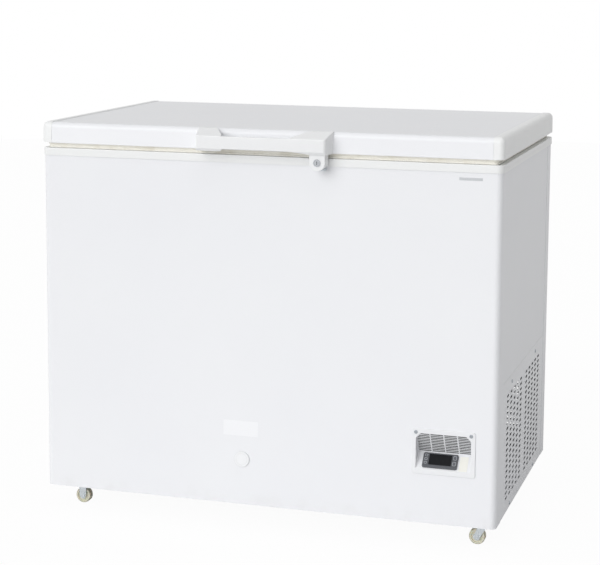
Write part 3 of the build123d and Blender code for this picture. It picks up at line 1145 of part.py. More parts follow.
def build_lines():
    """Filter drier, copper lines, wiring box and power inlet."""
    x0 = BAY_MIDDLE - CONDENSER_LENGTH / 2
    y = Y_FRONT + CONDENSER_Y
    rows = condenser_rows()
    shell_y = COMPRESSOR_Y
    shell_top = Z_PAN + GROMMET_HEIGHT + FOOT_PLATE + COMPRESSOR_HEIGHT
    drier_x = BAY_WALL + DRIER_X
    drier_y = SHROUD_Y + DRIER_Y
    low = Z_PAN + DRIER_Z
    high = low + DRIER_LENGTH
    drier = post(drier_x, drier_y, low, high, DRIER_RADIUS)
    drier = fillet(drier.edges().filter_by(GeomType.CIRCLE), DRIER_RADIUS / 2)
    middle = (low + high) / 2
    drier += box(BAY_WALL, drier_x, drier_y - DRIER_CLIP / 2, drier_y + DRIER_CLIP / 2,
                 middle - DRIER_CLIP / 2, middle + DRIER_CLIP / 2)
    save("filter_drier", drier)

    run_z = rows[-1] + LINE_LIFT
    side_x = x0 - LINE_SIDE
    entry = shell_top - SHELL_ENTRY_DEPTH
    discharge = tube_along([
        (x0, y, rows[-1]), (side_x, y, rows[-1]), (side_x, y, run_z), (side_x, shell_y - SHELL_ENTRY_Y, run_z),
        (BAY_MIDDLE - SHELL_ENTRY_X, shell_y - SHELL_ENTRY_Y, run_z),
        (BAY_MIDDLE - SHELL_ENTRY_X, shell_y - SHELL_ENTRY_Y, entry)], LINE_BEND, THIN_TUBE)
    liquid = tube_along([
        (x0, y, rows[0]), (drier_x, y, rows[0]), (drier_x, drier_y, rows[0]), (drier_x, drier_y, low)],
        LINE_BEND, THIN_TUBE)
    capillary = tube_along([
        (drier_x, drier_y, high), (drier_x, drier_y, high + CAPILLARY_RISE),
        (BAY_WALL, drier_y, high + CAPILLARY_RISE)], CAPILLARY_BEND, THIN_TUBE)
    suction = tube_along([
        (BAY_WALL, shell_y + SHELL_ENTRY_Y, run_z), (BAY_MIDDLE, shell_y + SHELL_ENTRY_Y, run_z),
        (BAY_MIDDLE, shell_y + SHELL_ENTRY_Y, entry)], SUCTION_BEND, TUBE)
    shell = nodes["compressor"][0]
    save("refrigerant_lines", discharge - shell, liquid, capillary, suction - shell)

    case = box(BAY_WALL, BAY_WALL + BOX_DEPTH, Y_REAR - BOX_INSET_Y - BOX_LENGTH, Y_REAR - BOX_INSET_Y,
               BAY_Z - BOX_INSET_Z - BOX_HEIGHT, BAY_Z - BOX_INSET_Z)
    save("electrics_box", fillet(case.faces().sort_by(Axis.X)[-1].edges(), BOX_EDGE))

    z = Z_BASE + GLAND_Z
    gland = rod_y(GLAND_X, z, Y_REAR - GLAND_TAIL, Y_REAR + GLAND_PROUD, GLAND_RADIUS)
    gland += rod_y(GLAND_X, z, Y_REAR, Y_REAR + GLAND_FLANGE_SHEET, GLAND_FLANGE)
    save("power_inlet_gland", gland - rod_y(GLAND_X, z, Y_REAR - GLAND_TAIL - 1, Y_REAR + GLAND_PROUD + 1,
                                            GLAND_BORE))


build_controls()
build_case()
build_insulation()
build_lid()
build_handle()
build_hinges()
build_casters()
build_compressor()
build_condenser()
build_lines()

os.makedirs("parts", exist_ok=True)
for node_name, pieces in nodes.items():
    solids = [solid for piece in pieces for solid in piece.solids()]
    shape = solids[0] if len(solids) == 1 else Compound(children=solids)
    export_step(shape, "parts/" + node_name + ".step")
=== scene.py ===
import bmesh
import bpy
import math
from mathutils import Matrix, Vector


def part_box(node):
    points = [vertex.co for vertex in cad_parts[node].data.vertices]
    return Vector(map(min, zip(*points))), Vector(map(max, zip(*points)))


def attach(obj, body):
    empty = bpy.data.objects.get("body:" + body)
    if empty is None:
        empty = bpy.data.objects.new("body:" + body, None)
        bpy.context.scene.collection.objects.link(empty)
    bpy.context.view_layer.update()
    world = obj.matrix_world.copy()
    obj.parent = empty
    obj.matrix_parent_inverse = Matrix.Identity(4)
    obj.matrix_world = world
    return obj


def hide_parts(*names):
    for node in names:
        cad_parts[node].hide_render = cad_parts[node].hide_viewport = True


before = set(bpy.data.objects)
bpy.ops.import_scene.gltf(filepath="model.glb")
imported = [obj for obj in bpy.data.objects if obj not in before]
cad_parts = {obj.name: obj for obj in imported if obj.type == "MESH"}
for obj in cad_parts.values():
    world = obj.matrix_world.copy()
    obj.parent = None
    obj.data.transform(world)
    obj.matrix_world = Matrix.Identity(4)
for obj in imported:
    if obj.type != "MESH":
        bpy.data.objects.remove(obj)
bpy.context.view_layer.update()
scene = bpy.context.scene

# Viewpoint. The freezer is seen from its right front corner, a little from above,
# with a long lens that is shifted down so that the upright edges stay almost upright.
PICTURE_WIDTH = 600
FOCAL_PIXELS = 1692.7
SENSOR_WIDTH = 36.0
SHIFT = 0.15
VIEW_END = 60.0
CAMERA_PLACE = Vector((1.2158, -4.0044, 1.3185))
YAW = -0.29859
PITCH = 0.13245
ROLL = 0.00608


def seat(place, right, up, out):
    """Transform that takes a flat drawing to place and turns it to face out."""
    return Matrix.Translation(place) @ Matrix((right, up, out)).transposed().to_4x4()


camera = bpy.data.objects.new("camera", bpy.data.cameras.new("camera"))
scene.collection.objects.link(camera)
ahead = Vector((math.sin(YAW) * math.cos(PITCH), math.cos(YAW) * math.cos(PITCH), -math.sin(PITCH)))
level = Vector((math.cos(YAW), -math.sin(YAW), 0.0))
upright = level.cross(ahead)
right = math.cos(ROLL) * level + math.sin(ROLL) * upright
above = math.cos(ROLL) * upright - math.sin(ROLL) * level
camera.matrix_world = seat(CAMERA_PLACE, right, above, -ahead)
camera.data.sensor_width = SENSOR_WIDTH
camera.data.lens = FOCAL_PIXELS * SENSOR_WIDTH / PICTURE_WIDTH
camera.data.shift_y = -SHIFT
camera.data.clip_end = VIEW_END
scene.camera = camera

# Studio. A pale floor that keeps a soft shadow, a white surround, and soft light
# that comes mostly from the front left, so that the right side stays in shade.
FLOOR_RADIUS = 9.0
FLOOR_SIDES = 64
FLOOR_PALE = (0.85, 0.85, 0.85, 1.0)
FLOOR_ROUGHNESS = 0.9
FLOOR_GLOW = 0.96
WHITE = (1.0, 1.0, 1.0, 1.0)
AMBIENT = 0.43
MIRRORED_SHARE = 0.6
KEY_LIGHT = 1.60
KEY_DIRECTION = Vector((0.42, 0.82, -0.40))
TOP_LIGHT = 0.50
TOP_DIRECTION = Vector((-0.15, 0.25, -1.0))
SOFT_ANGLE = math.radians(50)


class Wire:
    """A node's output that can be added, subtracted and multiplied."""

    def __init__(self, owner, socket):
        self.owner = owner
        self.socket = socket

    def math(self, operation, first, second=0.0):
        return self.owner.node("ShaderNodeMath", {"operation": operation}, {0: first, 1: second})

    def __add__(self, other):
        return self.math("ADD", self, other)

    def __sub__(self, other):
        return self.math("SUBTRACT", self, other)

    def __rsub__(self, other):
        return self.math("SUBTRACT", other, self)

    def __mul__(self, other):
        return self.math("MULTIPLY", self, other)

    __radd__ = __add__


class Nodes:
    """A node tree and the one way to put a node in it."""

    def __init__(self, tree):
        self.tree = tree

    def node(self, kind, settings=None, sockets=None, out=0):
        made = self.tree.nodes.new(kind)
        for key, value in (settings or {}).items():
            setattr(made, key, value)
        for key, value in (sockets or {}).items():
            if isinstance(value, Wire):
                self.tree.links.new(value.socket, made.inputs[key])
            else:
                made.inputs[key].default_value = value
        return Wire(self, made.outputs[out])


class Finish(Nodes):
    """A material on the real surface's own scale, in metres."""

    def __init__(self, name, constants):
        self.material = bpy.data.materials.new(name)
        self.material.use_nodes = True
        super().__init__(self.material.node_tree)
        self.shader = self.tree.nodes["Principled BSDF"]
        for key, value in constants.items():
            self.shader.inputs[key].default_value = value
        self.place = self.node("ShaderNodeTexCoord", out="Object")

    def noise(self, scale, detail=2.0, place=None):
        sockets = {"Vector": place or self.place, "Scale": scale, "Detail": detail}
        return self.node("ShaderNodeTexNoise", None, sockets)

    def cells(self, scale, out="Distance"):
        return self.node("ShaderNodeTexVoronoi", None, {"Vector": self.place, "Scale": scale}, out)

    def stretch(self, scale):
        """Object coordinates with a scale of their own along each axis."""
        return self.node("ShaderNodeMapping", None, {"Vector": self.place, "Scale": scale})

    def axis(self, letter):
        return self.node("ShaderNodeSeparateXYZ", None, {0: self.place}, letter)

    def ramp(self, value, low, high):
        """0 below low, 1 above high and smooth between."""
        limits = {"Value": value, "From Min": low, "From Max": high}
        return self.node("ShaderNodeMapRange", {"interpolation_type": "SMOOTHSTEP"}, limits)

    def mix(self, share, first, second):
        """Colour between first, at 0, and second, at 1."""
        return self.node("ShaderNodeMix", {"data_type": "RGBA"}, {0: share, 6: first, 7: second}, 2)

    def relief(self, height):
        """Normal from a height in metres."""
        return self.node("ShaderNodeBump", None, {"Strength": 1.0, "Distance": 1.0, "Height": height})

    def feed(self, **links):
        """Connects values that vary to the shader's inputs."""
        for key, value in links.items():
            self.tree.links.new(value.socket, self.shader.inputs[key.replace("_", " ")])
        return self


def new_piece(name, mesh):
    """Object at the origin with its place in its mesh."""
    piece = bpy.data.objects.new(name, mesh)
    scene.collection.objects.link(piece)
    return piece


def sun(name, direction, strength):
    """Soft light from far away."""
    lamp = bpy.data.objects.new(name, bpy.data.lights.new(name, "SUN"))
    lamp.data.energy = strength
    lamp.data.angle = SOFT_ANGLE
    lamp.rotation_euler = direction.to_track_quat("-Z", "Y").to_euler()
    scene.collection.objects.link(lamp)


sun("key_light", KEY_DIRECTION, KEY_LIGHT)
sun("top_light", TOP_DIRECTION, TOP_LIGHT)

world = bpy.data.worlds.new("surround")
world.use_nodes = True
scene.world = world
air = Nodes(world.node_tree)
camera_ray, clear_ray, glossy_ray = (
    air.node("ShaderNodeLightPath", out=kind)
    for kind in ("Is Camera Ray", "Is Transmission Ray", "Is Glossy Ray"))
shown = air.node("ShaderNodeClamp", None, {0: camera_ray + clear_ray + glossy_ray * MIRRORED_SHARE})
background = world.node_tree.nodes["Background"]
background.inputs["Color"].default_value = WHITE
air.tree.links.new((AMBIENT + shown * (1.0 - AMBIENT)).socket, background.inputs["Strength"])

floor_shape = bmesh.new()
bmesh.ops.create_circle(floor_shape, cap_ends=True, segments=FLOOR_SIDES, radius=FLOOR_RADIUS)
floor = new_piece("floor", bpy.data.meshes.new("floor"))
floor_shape.to_mesh(floor.data)
ground = Finish("pale floor", {"Base Color": FLOOR_PALE, "Roughness": FLOOR_ROUGHNESS})
glow = ground.node("ShaderNodeEmission", None, {"Color": WHITE, "Strength": 1.0})
floor_seen = ground.node("ShaderNodeLightPath", out="Is Camera Ray")
lit = Wire(ground, ground.shader.outputs[0])
both = ground.node("ShaderNodeMixShader", None, {0: floor_seen * FLOOR_GLOW, 1: lit, 2: glow})
ground.tree.links.new(both.socket, ground.tree.nodes["Material Output"].inputs["Surface"])
floor.data.materials.append(ground.material)
scene.view_settings.view_transform = "Standard"


# Outer case. Folded steel sheets with a smooth white powder coat: a front and a rear wrap,
# two side panels set in behind them, and a service panel with punched vent slots.
def paint(text):
    """Linear colour with alpha from a hex colour."""
    parts = [int(text[i:i + 2], 16) / 255 for i in (1, 3, 5)]
    return tuple(p / 12.92 if p <= 0.04045 else ((p + 0.055) / 1.055) ** 2.4 for p in parts) + (1.0,)


def dress(finish, *names):
    """Gives CAD nodes a finish."""
    for name in names:
        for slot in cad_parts[name].material_slots:
            slot.material = finish.material


COAT_WHITE = paint("#eeeff1")
COAT_COOL = paint("#e8e9ed")
TONE_SCALE = 2.4
PEEL_SCALE = 380.0
PEEL_HEIGHT = 0.000014
SWAY_SCALE = 3.5
SWAY_HEIGHT = 0.00045
FLOOR_DUST = paint("#b9b4aa")
DUST_SCALE = 28.0
DUST_BOTTOM = 0.055
DUST_TOP = 0.10
DUST_SHARE = 0.10
RUB_SCALE = 55.0
RUB_SPREAD = 0.12


def powder_coat(name, roughness):
    """Sprayed and baked coat: orange peel, a slight sway of the sheet, and dust near the floor."""
    coat = Finish(name, {"Coat Weight": 0.18, "Coat Roughness": 0.22, "Specular IOR Level": 0.4})
    peel = coat.noise(PEEL_SCALE, detail=3.0)
    sway = coat.noise(SWAY_SCALE, detail=1.0)
    tone = coat.mix(coat.noise(TONE_SCALE), COAT_WHITE, COAT_COOL)
    low = 1 - coat.ramp(coat.axis("Z"), DUST_BOTTOM, DUST_TOP)
    dust = low * coat.ramp(coat.noise(DUST_SCALE, detail=6.0), 0.42, 0.75) * DUST_SHARE
    rough = coat.noise(RUB_SCALE, detail=4.0) * RUB_SPREAD + (roughness - RUB_SPREAD / 2)
    return coat.feed(Base_Color=coat.mix(dust, tone, FLOOR_DUST), Roughness=rough,
                     Normal=coat.relief(peel * PEEL_HEIGHT + sway * SWAY_HEIGHT))


case_coat = powder_coat("white powder coat", roughness=0.42)
dress(case_coat, "front_panel", "rear_panel", "left_side_panel", "right_side_panel", "service_panel")

# Vent slots of the service panel. Each slot is punched and its edge pulled out a little,
# which leaves a fine rolled lip round it. Two groups of five columns, twenty rows each.
SLOT_LENGTH = 0.026
SLOT_HEIGHT = 0.0065
SLOT_COLUMNS = 5
SLOT_ROWS = 20
SLOT_PITCH_Y = 0.044
SLOT_PITCH_Z = 0.0129
SLOT_LOWEST = 0.035
SLOT_END_STEPS = 5
GROUP_SPREAD = 0.252
LIP = 0.00025
LIP_SIDES = 6


class Pattern(Nodes):
    """Geometry Nodes with named sizes that end as a plain mesh."""

    def __init__(self, name, sizes):
        super().__init__(bpy.data.node_groups.new(name, "GeometryNodeTree"))
        self.name = name
        self.sizes = sizes
        for key, value in sizes.items():
            kind = "NodeSocketInt" if isinstance(value, int) else "NodeSocketFloat"
            self.tree.interface.new_socket(key, in_out="INPUT", socket_type=kind)
        self.tree.interface.new_socket("Geometry", in_out="OUTPUT", socket_type="NodeSocketGeometry")
        entry = self.tree.nodes.new("NodeGroupInput")
        self.get = {key: Wire(self, entry.outputs[key]) for key in sizes}

    def vector(self, **parts):
        """Vector with the parts that are given and 0 for the others."""
        return self.node("ShaderNodeCombineXYZ", None, parts)

    def move(self, shape, offset=(0, 0, 0), turn=(0, 0, 0)):
        sockets = {0: shape, "Translation": offset, "Rotation": turn}
        return self.node("GeometryNodeTransform", None, sockets)

    def join(self, shapes):
        joined = self.tree.nodes.new("GeometryNodeJoinGeometry")
        for shape in reversed(shapes):
            self.tree.links.new(shape.socket, joined.inputs[0])
        return Wire(self, joined.outputs[0])

    def circle(self, radius, sides):
        sockets = {"Resolution": sides, "Radius": radius}
        return self.node("GeometryNodeCurvePrimitiveCircle", None, sockets)

    def rounded(self, width, height, corner, steps):
        """Curve round a rectangle with round corners."""
        sides = {"Width": width, "Height": height}
        plain = self.node("GeometryNodeCurvePrimitiveQuadrilateral", None, sides)
        return self.node("GeometryNodeFilletCurve", {"mode": "POLY"},
                         {0: plain, "Count": steps, "Radius": corner, "Limit Radius": True})

    def sweep(self, path, profile):
        sockets = {0: path, "Profile Curve": profile, "Fill Caps": True}
        return self.node("GeometryNodeCurveToMesh", None, sockets)

    def make(self, shape, finish):
        """Runs the tree and returns a plain object."""
        real = self.node("GeometryNodeRealizeInstances", None, {0: shape})
        painted = self.node("GeometryNodeSetMaterial", None, {0: real, "Material": finish.material})
        way_out = self.tree.nodes.new("NodeGroupOutput")
        self.tree.links.new(painted.socket, way_out.inputs[0])
        piece = new_piece(self.name, bpy.data.meshes.new(self.name))
        modifier = piece.modifiers.new(self.name, "NODES")
        modifier.node_group = self.tree
        for item in self.tree.interface.items_tree:
            if item.in_out == "INPUT":
                modifier[item.identifier] = self.sizes[item.name]
        ready = piece.evaluated_get(bpy.context.evaluated_depsgraph_get())
        mesh = bpy.data.meshes.new_from_object(ready)
        piece.modifiers.remove(modifier)
        piece.data = mesh
        return piece


service_low, service_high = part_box("service_panel")
lips = Pattern("vent_slot_lips", {
    "Slot length": SLOT_LENGTH, "Slot height": SLOT_HEIGHT, "Lip": LIP, "Columns": SLOT_COLUMNS,
    "Rows": SLOT_ROWS, "Pitch along": SLOT_PITCH_Y, "Pitch up": SLOT_PITCH_Z,
    "Group spread": GROUP_SPREAD})
slot_height = lips.get["Slot height"]
lip_path = lips.rounded(lips.get["Slot length"], slot_height, slot_height * 0.5, SLOT_END_STEPS)
one_lip = lips.sweep(lip_path, lips.circle(lips.get["Lip"], LIP_SIDES))
places = lips.node("GeometryNodeMeshGrid", None, {
    "Size X": lips.get["Pitch along"] * (lips.get["Columns"] - 1.0),
    "Size Y": lips.get["Pitch up"] * (lips.get["Rows"] - 1.0),
    "Vertices X": lips.get["Columns"], "Vertices Y": lips.get["Rows"]})
group = lips.node("GeometryNodeInstanceOnPoints", None, {"Points": places, "Instance": one_lip})
groups = [lips.move(group, lips.vector(X=lips.get["Group spread"] * side)) for side in (0.5, -0.5)]
slots_middle = (
    service_high.x,
    (service_low.y + service_high.y) / 2,
    service_low.z + SLOT_LOWEST + SLOT_PITCH_Z * (SLOT_ROWS - 1) / 2,
)
facing_right = (math.pi / 2, 0, math.pi / 2)
vent_lips = lips.make(lips.move(lips.join(groups), slots_middle, facing_right), case_coat)
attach(vent_lips, "cabinet")

# Screws. Zinc-plated steel with a cross recess, turned in by machine, so that the plate
# is bright and only a little worn round the recess.
ZINC_BRIGHT = paint("#c3c7cc")
ZINC_DULL = paint("#8e959d")
SCRATCH_SCALE = 900.0
SCRATCH_HEIGHT = 0.00002

screw_plate = Finish("zinc-plated screw steel", {"Metallic": 1.0})
scratch = screw_plate.noise(SCRATCH_SCALE, detail=4.0)
worn = screw_plate.ramp(scratch, 0.35, 0.7)
screw_plate.feed(Base_Color=screw_plate.mix(worn, ZINC_BRIGHT, ZINC_DULL),
                 Roughness=scratch * 0.25 + 0.18,
                 Normal=screw_plate.relief(scratch * SCRATCH_HEIGHT))
dress(screw_plate, "service_screws", "front_screws", "hinge_screws", "lid_screws", "caster_bolts")

# Zinc-plated pressings: the base pan and the hinges, and the lining of the machine bay and the fan's
# shroud. Lining and shroud are coloured near-black as painted shade, so that the bay looks dark through
# the vents. Cold-rolled sheet with a pale blue spangle and fine grain.
PLATE_PALE = paint("#dfe4e7")
PLATE_BLUE = paint("#c2cbd1")
BAY_SHADE_PALE = paint("#3b3d3f")
BAY_SHADE_DARK = paint("#232425")
SPANGLE_SCALE = 90.0
SPANGLE_HEIGHT = 0.000008
GRAIN_STRETCH = (40.0, 900.0, 900.0)
GRAIN_HEIGHT = 0.000012
STAIN_SCALE = 22.0


def zinc_plate(name, spangle, pale=PLATE_PALE, deep=PLATE_BLUE, metal=0.6):
    """Spangled plating with a fine rolled grain along X."""
    plate = Finish(name, {"Metallic": metal})
    shade = plate.node("ShaderNodeSeparateColor", None, {0: plate.cells(spangle, "Color")})
    grain = plate.noise(1.0, place=plate.stretch(GRAIN_STRETCH))
    stain = plate.ramp(plate.noise(STAIN_SCALE, detail=5.0), 0.5, 0.8)
    tint = plate.mix(shade * 0.6 + stain * 0.3, pale, deep)
    return plate.feed(Base_Color=tint, Roughness=shade * 0.12 + grain * 0.12 + 0.24,
                      Normal=plate.relief(grain * GRAIN_HEIGHT + shade * SPANGLE_HEIGHT))


pressed_zinc = zinc_plate("spangled zinc sheet", SPANGLE_SCALE)
dress(pressed_zinc, "base_pan", "hinge_bases", "hinge_leaves")
# Painted shade: the bay lining and fan shroud get a near-black colour that stands in for the shade
# inside the bay.
bay_painted_shade_sheet = zinc_plate("dusty dark sheet of the machine bay", SPANGLE_SCALE, BAY_SHADE_PALE, BAY_SHADE_DARK, 0.2)
dress(bay_painted_shade_sheet, "machine_bay_lining", "fan_shroud")

# Casters. Pressed steel forks and plates with blue zinc plating, the left pair rigid and the right
# pair swivelling, and moulded nylon wheels whose treads have picked up dirt from the floor.
NYLON = paint("#e6e1cb")
NYLON_PALE = paint("#eeebdc")
TREAD_DIRT = paint("#8a846f")
CASTER_SPANGLE_SCALE = 260.0
WHEEL_RADIUS = 0.019
HUB_SHARE = 0.2
RIM_SHARE = 0.9
TREAD_SHARE = 0.78
STREAK_SCALE = 160.0
STREAK_HEIGHT = 0.00006

caster_zinc = zinc_plate("blue zinc caster plating", CASTER_SPANGLE_SCALE)
dress(caster_zinc, "rigid_casters", "swivel_caster_plates", "swivel_fork_front", "swivel_fork_rear")


def middle_of(node):
    """Middle of a CAD node's box."""
    low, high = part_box(node)
    return (low + high) / 2


def reach_from(finish, middle):
    """Distance from the line through middle that runs along Y."""
    across = finish.axis("X") - middle.x
    upward = finish.axis("Z") - middle.z
    return finish.node("ShaderNodeMath", {"operation": "SQRT"}, {0: across * across + upward * upward})


def nylon_wheel(node):
    """Nylon that is paler at the hub and dirty on the tread."""
    nylon = Finish("moulded nylon " + node, {"Subsurface Weight": 0.08, "Specular IOR Level": 0.45})
    reach = reach_from(nylon, middle_of(node))
    streak = nylon.noise(STREAK_SCALE, detail=5.0)
    tread = nylon.ramp(reach, WHEEL_RADIUS * TREAD_SHARE, WHEEL_RADIUS)
    dirt = tread * nylon.ramp(streak, 0.25, 0.7) * 0.75
    outward = nylon.ramp(reach, WHEEL_RADIUS * HUB_SHARE, WHEEL_RADIUS * RIM_SHARE)
    body = nylon.mix(outward, NYLON_PALE, NYLON)
    nylon.feed(Base_Color=nylon.mix(dirt, body, TREAD_DIRT),
               Roughness=streak * 0.25 + 0.32 + tread * 0.15,
               Normal=nylon.relief(streak * STREAK_HEIGHT))
    dress(nylon, node)


for wheel in ("rigid_wheel_front", "rigid_wheel_rear", "swivel_wheel_front", "swivel_wheel_rear"):
    nylon_wheel(wheel)

# Insulation. Polyurethane foam that is blown between the case and the liner and into the lid.
# It is only seen where the cabinet is opened up: pale yellow, with fine cells and larger pores.
FOAM_PALE = paint("#e9deb0")
FOAM_DEEP = paint("#c9b678")
AGED_SCALE = 14.0
CELL_SCALE = 420.0
CELL_HEIGHT = 0.0006
PORE_SCALE = 60.0
PORE_HEIGHT = 0.0008

foam = Finish("blown foam", {"Roughness": 0.95, "Specular IOR Level": 0.2})
cell = foam.cells(CELL_SCALE)
aged = foam.ramp(foam.noise(AGED_SCALE, detail=6.0), 0.3, 0.75)
foam.feed(Base_Color=foam.mix(aged, FOAM_PALE, FOAM_DEEP),
          Normal=foam.relief(cell * CELL_HEIGHT + foam.noise(PORE_SCALE, detail=4.0) * PORE_HEIGHT))
dress(foam, "cabinet_insulation", "lid_insulation")

# Storage chamber. Embossed aluminium sheet with a step over the machine bay, and a white plastic
# drain pipe that leads from its floor to the front.
ALUMINIUM = paint("#d3d7da")
ALUMINIUM_SHADE = paint("#b3babf")
PEBBLE_SCALE = 130.0
PEBBLE_HEIGHT = 0.0009
HANDLED_SCALE = 5.0
PIPE_WHITE = paint("#dfdfda")
PIPE_SHADE = paint("#cfcdc4")
PIPE_SCALE = 30.0
PIPE_GRAIN_SCALE = 300.0
PIPE_GRAIN_HEIGHT = 0.00004

stucco = Finish("embossed aluminium sheet", {"Metallic": 0.85})
pebble = stucco.node("ShaderNodeTexVoronoi", {"feature": "SMOOTH_F1"},
                     {"Vector": stucco.place, "Scale": PEBBLE_SCALE, "Smoothness": 0.7})
handled = stucco.ramp(stucco.noise(HANDLED_SCALE, detail=5.0), 0.35, 0.8)
stucco.feed(Base_Color=stucco.mix(handled, ALUMINIUM, ALUMINIUM_SHADE),
            Roughness=handled * 0.14 + 0.3, Normal=stucco.relief(pebble * PEBBLE_HEIGHT))
dress(stucco, "inner_liner")

pipe = Finish("white drain plastic", {"Roughness": 0.5})
pipe.feed(Base_Color=pipe.mix(pipe.noise(PIPE_SCALE, detail=4.0), PIPE_WHITE, PIPE_SHADE),
          Normal=pipe.relief(pipe.noise(PIPE_GRAIN_SCALE) * PIPE_GRAIN_HEIGHT))
dress(pipe, "drain_tube")

# Moulded white trim: the frame round the cabinet's mouth and the lid's two end caps. Glossy
# plastic with a hint of flow marks, a shade warmer than the coat on the steel.
TRIM_WHITE = paint("#eff0f0")
TRIM_SHADE = paint("#e9eaea")
FLOW_STRETCH = (0.6, 6.0, 6.0)
FLOW_SCALE = 2.5
TEXTURE_SCALE = 1100.0
FINE_TEXTURE = 0.00001
MEDIUM_TEXTURE = 0.00002
COARSE_TEXTURE = 0.00003


def moulded(name, light, dark, roughness, texture_height=FINE_TEXTURE):
    """Injection-moulded plastic with faint flow marks and a fine texture."""
    plastic = Finish(name, {"Specular IOR Level": 0.45})
    flow = plastic.noise(FLOW_SCALE, detail=3.0, place=plastic.stretch(FLOW_STRETCH))
    texture = plastic.noise(TEXTURE_SCALE)
    return plastic.feed(Base_Color=plastic.mix(flow, light, dark),
                        Roughness=texture * 0.1 + flow * 0.06 + (roughness - 0.08),
                        Normal=plastic.relief(texture * texture_height))


trim = moulded("white moulded trim", TRIM_WHITE, TRIM_SHADE, roughness=0.34)
dress(trim, "top_collar", "lid_cap_left", "lid_cap_right")

# Refrigeration: a black enamelled compressor on rubber feet, copper lines, evaporator and sensor bulb, a
# condenser with its fan, a filter drier and the wiring box. The condenser's fins and tubes are coloured
# black as painted shade, so that the bay looks dark through the vents.
ENAMEL = paint("#17181a")
ENAMEL_WORN = paint("#2c2d30")
RUN_SCALE = 90.0
RUN_HEIGHT = 0.00015
COPPER = paint("#c9825a")
COPPER_OXIDE = paint("#7d4a33")
TARNISH_SCALE = 45.0
DRAW_SCALE = 700.0
DRAW_HEIGHT = 0.00001
FIN_SHADE_BLACK = paint("#1d1e20")
FIN_LINT = paint("#4a4945")
LINT_SCALE = 38.0
FIN_GRAIN_SCALE = 260.0
FIN_GRAIN_HEIGHT = 0.00003
RUBBER = paint("#1f1f20")
RUBBER_BLOOM = paint("#343432")
BLOOM_SCALE = 120.0
BLOOM_HEIGHT = 0.00008
FAN_GREY = paint("#2f3134")
FAN_SHADE = paint("#26282b")

enamel = Finish("black enamel", {"Coat Weight": 0.5, "Coat Roughness": 0.15})
runs = enamel.noise(RUN_SCALE, detail=4.0)
enamel.feed(Base_Color=enamel.mix(enamel.ramp(runs, 0.45, 0.8), ENAMEL, ENAMEL_WORN),
            Roughness=runs * 0.25 + 0.25, Normal=enamel.relief(runs * RUN_HEIGHT))
dress(enamel, "compressor", "fan_motor")

copper = Finish("drawn copper", {"Metallic": 1.0})
tarnish = copper.ramp(copper.noise(TARNISH_SCALE, detail=6.0), 0.35, 0.75)
copper.feed(Base_Color=copper.mix(tarnish, COPPER, COPPER_OXIDE), Roughness=tarnish * 0.3 + 0.2,
            Normal=copper.relief(copper.noise(DRAW_SCALE) * DRAW_HEIGHT))
dress(copper, "refrigerant_lines", "filter_drier", "evaporator_coil", "chamber_sensor")

# Painted shade: the aluminium fins and tubes are coloured near-black to stand in for shade in the bay;
# the lint on them is real.
shade_dark_fins = Finish("black coated condenser fins", {"Specular IOR Level": 0.3})
lint = shade_dark_fins.ramp(shade_dark_fins.noise(LINT_SCALE, detail=6.0), 0.5, 0.85)
shade_dark_fins.feed(Base_Color=shade_dark_fins.mix(lint * 0.4, FIN_SHADE_BLACK, FIN_LINT), Roughness=lint * 0.3 + 0.45,
          Normal=shade_dark_fins.relief(shade_dark_fins.noise(FIN_GRAIN_SCALE) * FIN_GRAIN_HEIGHT))
dress(shade_dark_fins, "condenser_fins", "condenser_tubes")

rubber = Finish("black rubber", {"Specular IOR Level": 0.3})
bloom = rubber.noise(BLOOM_SCALE, detail=5.0)
rubber.feed(Base_Color=rubber.mix(bloom, RUBBER, RUBBER_BLOOM), Roughness=bloom * 0.2 + 0.6,
            Normal=rubber.relief(bloom * BLOOM_HEIGHT))
dress(rubber, "compressor_grommets", "power_inlet_gland")

fan_plastic = moulded("dark moulded fan plastic", FAN_GREY, FAN_SHADE, roughness=0.45,
                      texture_height=MEDIUM_TEXTURE)
dress(fan_plastic, "fan_blade", "compressor_terminal_cover", "electrics_box")

# Control bezel. Pale moulded plastic with a grille in its upper slope. The dark controller is
# clipped into the lower slope, with a framed black window between two columns of rubber keys;
# a pale ring is printed round each key.
BEZEL_WHITE = paint("#ecedef")
BEZEL_SHADE = paint("#e6e7ea")
CASE_GREY = paint("#5b5d62")
CASE_DARK = paint("#4b4d52")
WINDOW_BLACK = paint("#0b0c0f")
WINDOW_SHADE = paint("#15161a")
KEY_GREY = paint("#62646a")
KEY_SHADE = paint("#56585d")
PRINT_PALE = paint("#c2c4c8")
PRINT_SHADE = paint("#a9acb0")
SMEAR_SCALE = 12.0
WIPED_SCALE = 90.0
SLOPE_MIDDLE = Vector((0.4228, -0.326, 0.2015))
SLOPE_RUN = 0.030
SLOPE_RISE = 0.033
FACE_PROUD = 0.0035
KEY_PROUD = 0.0007
LEFT_RING = (0.0071, 0.0060, 0.0026)
RIGHT_RING = (0.0080, 0.0102, 0.0026)
RING_RIM = 0.0008
RING_THICKNESS = 0.00012
WINDOW_LIFT = 0.002
WINDOW_FRAME = (0.0548, 0.0293, 0.0014)
WINDOW_RIM = 0.0011
WINDOW_THICKNESS = 0.0004
CORNER_STEPS = 6
SHARPEST_CORNER = 0.00005
EDGE_SHARE = 0.4

bezel = moulded("pale bezel plastic", BEZEL_WHITE, BEZEL_SHADE, roughness=0.4)
dress(bezel, "control_bezel")
controller = moulded("dark grey controller plastic", CASE_GREY, CASE_DARK, roughness=0.46,
                     texture_height=COARSE_TEXTURE)
dress(controller, "controller_case")
keypad = moulded("grey key rubber", KEY_GREY, KEY_SHADE, roughness=0.6,
                 texture_height=COARSE_TEXTURE)
keys = ("key_left_top", "key_left_middle", "key_left_bottom", "key_right_top", "key_right_bottom")
dress(keypad, *keys)

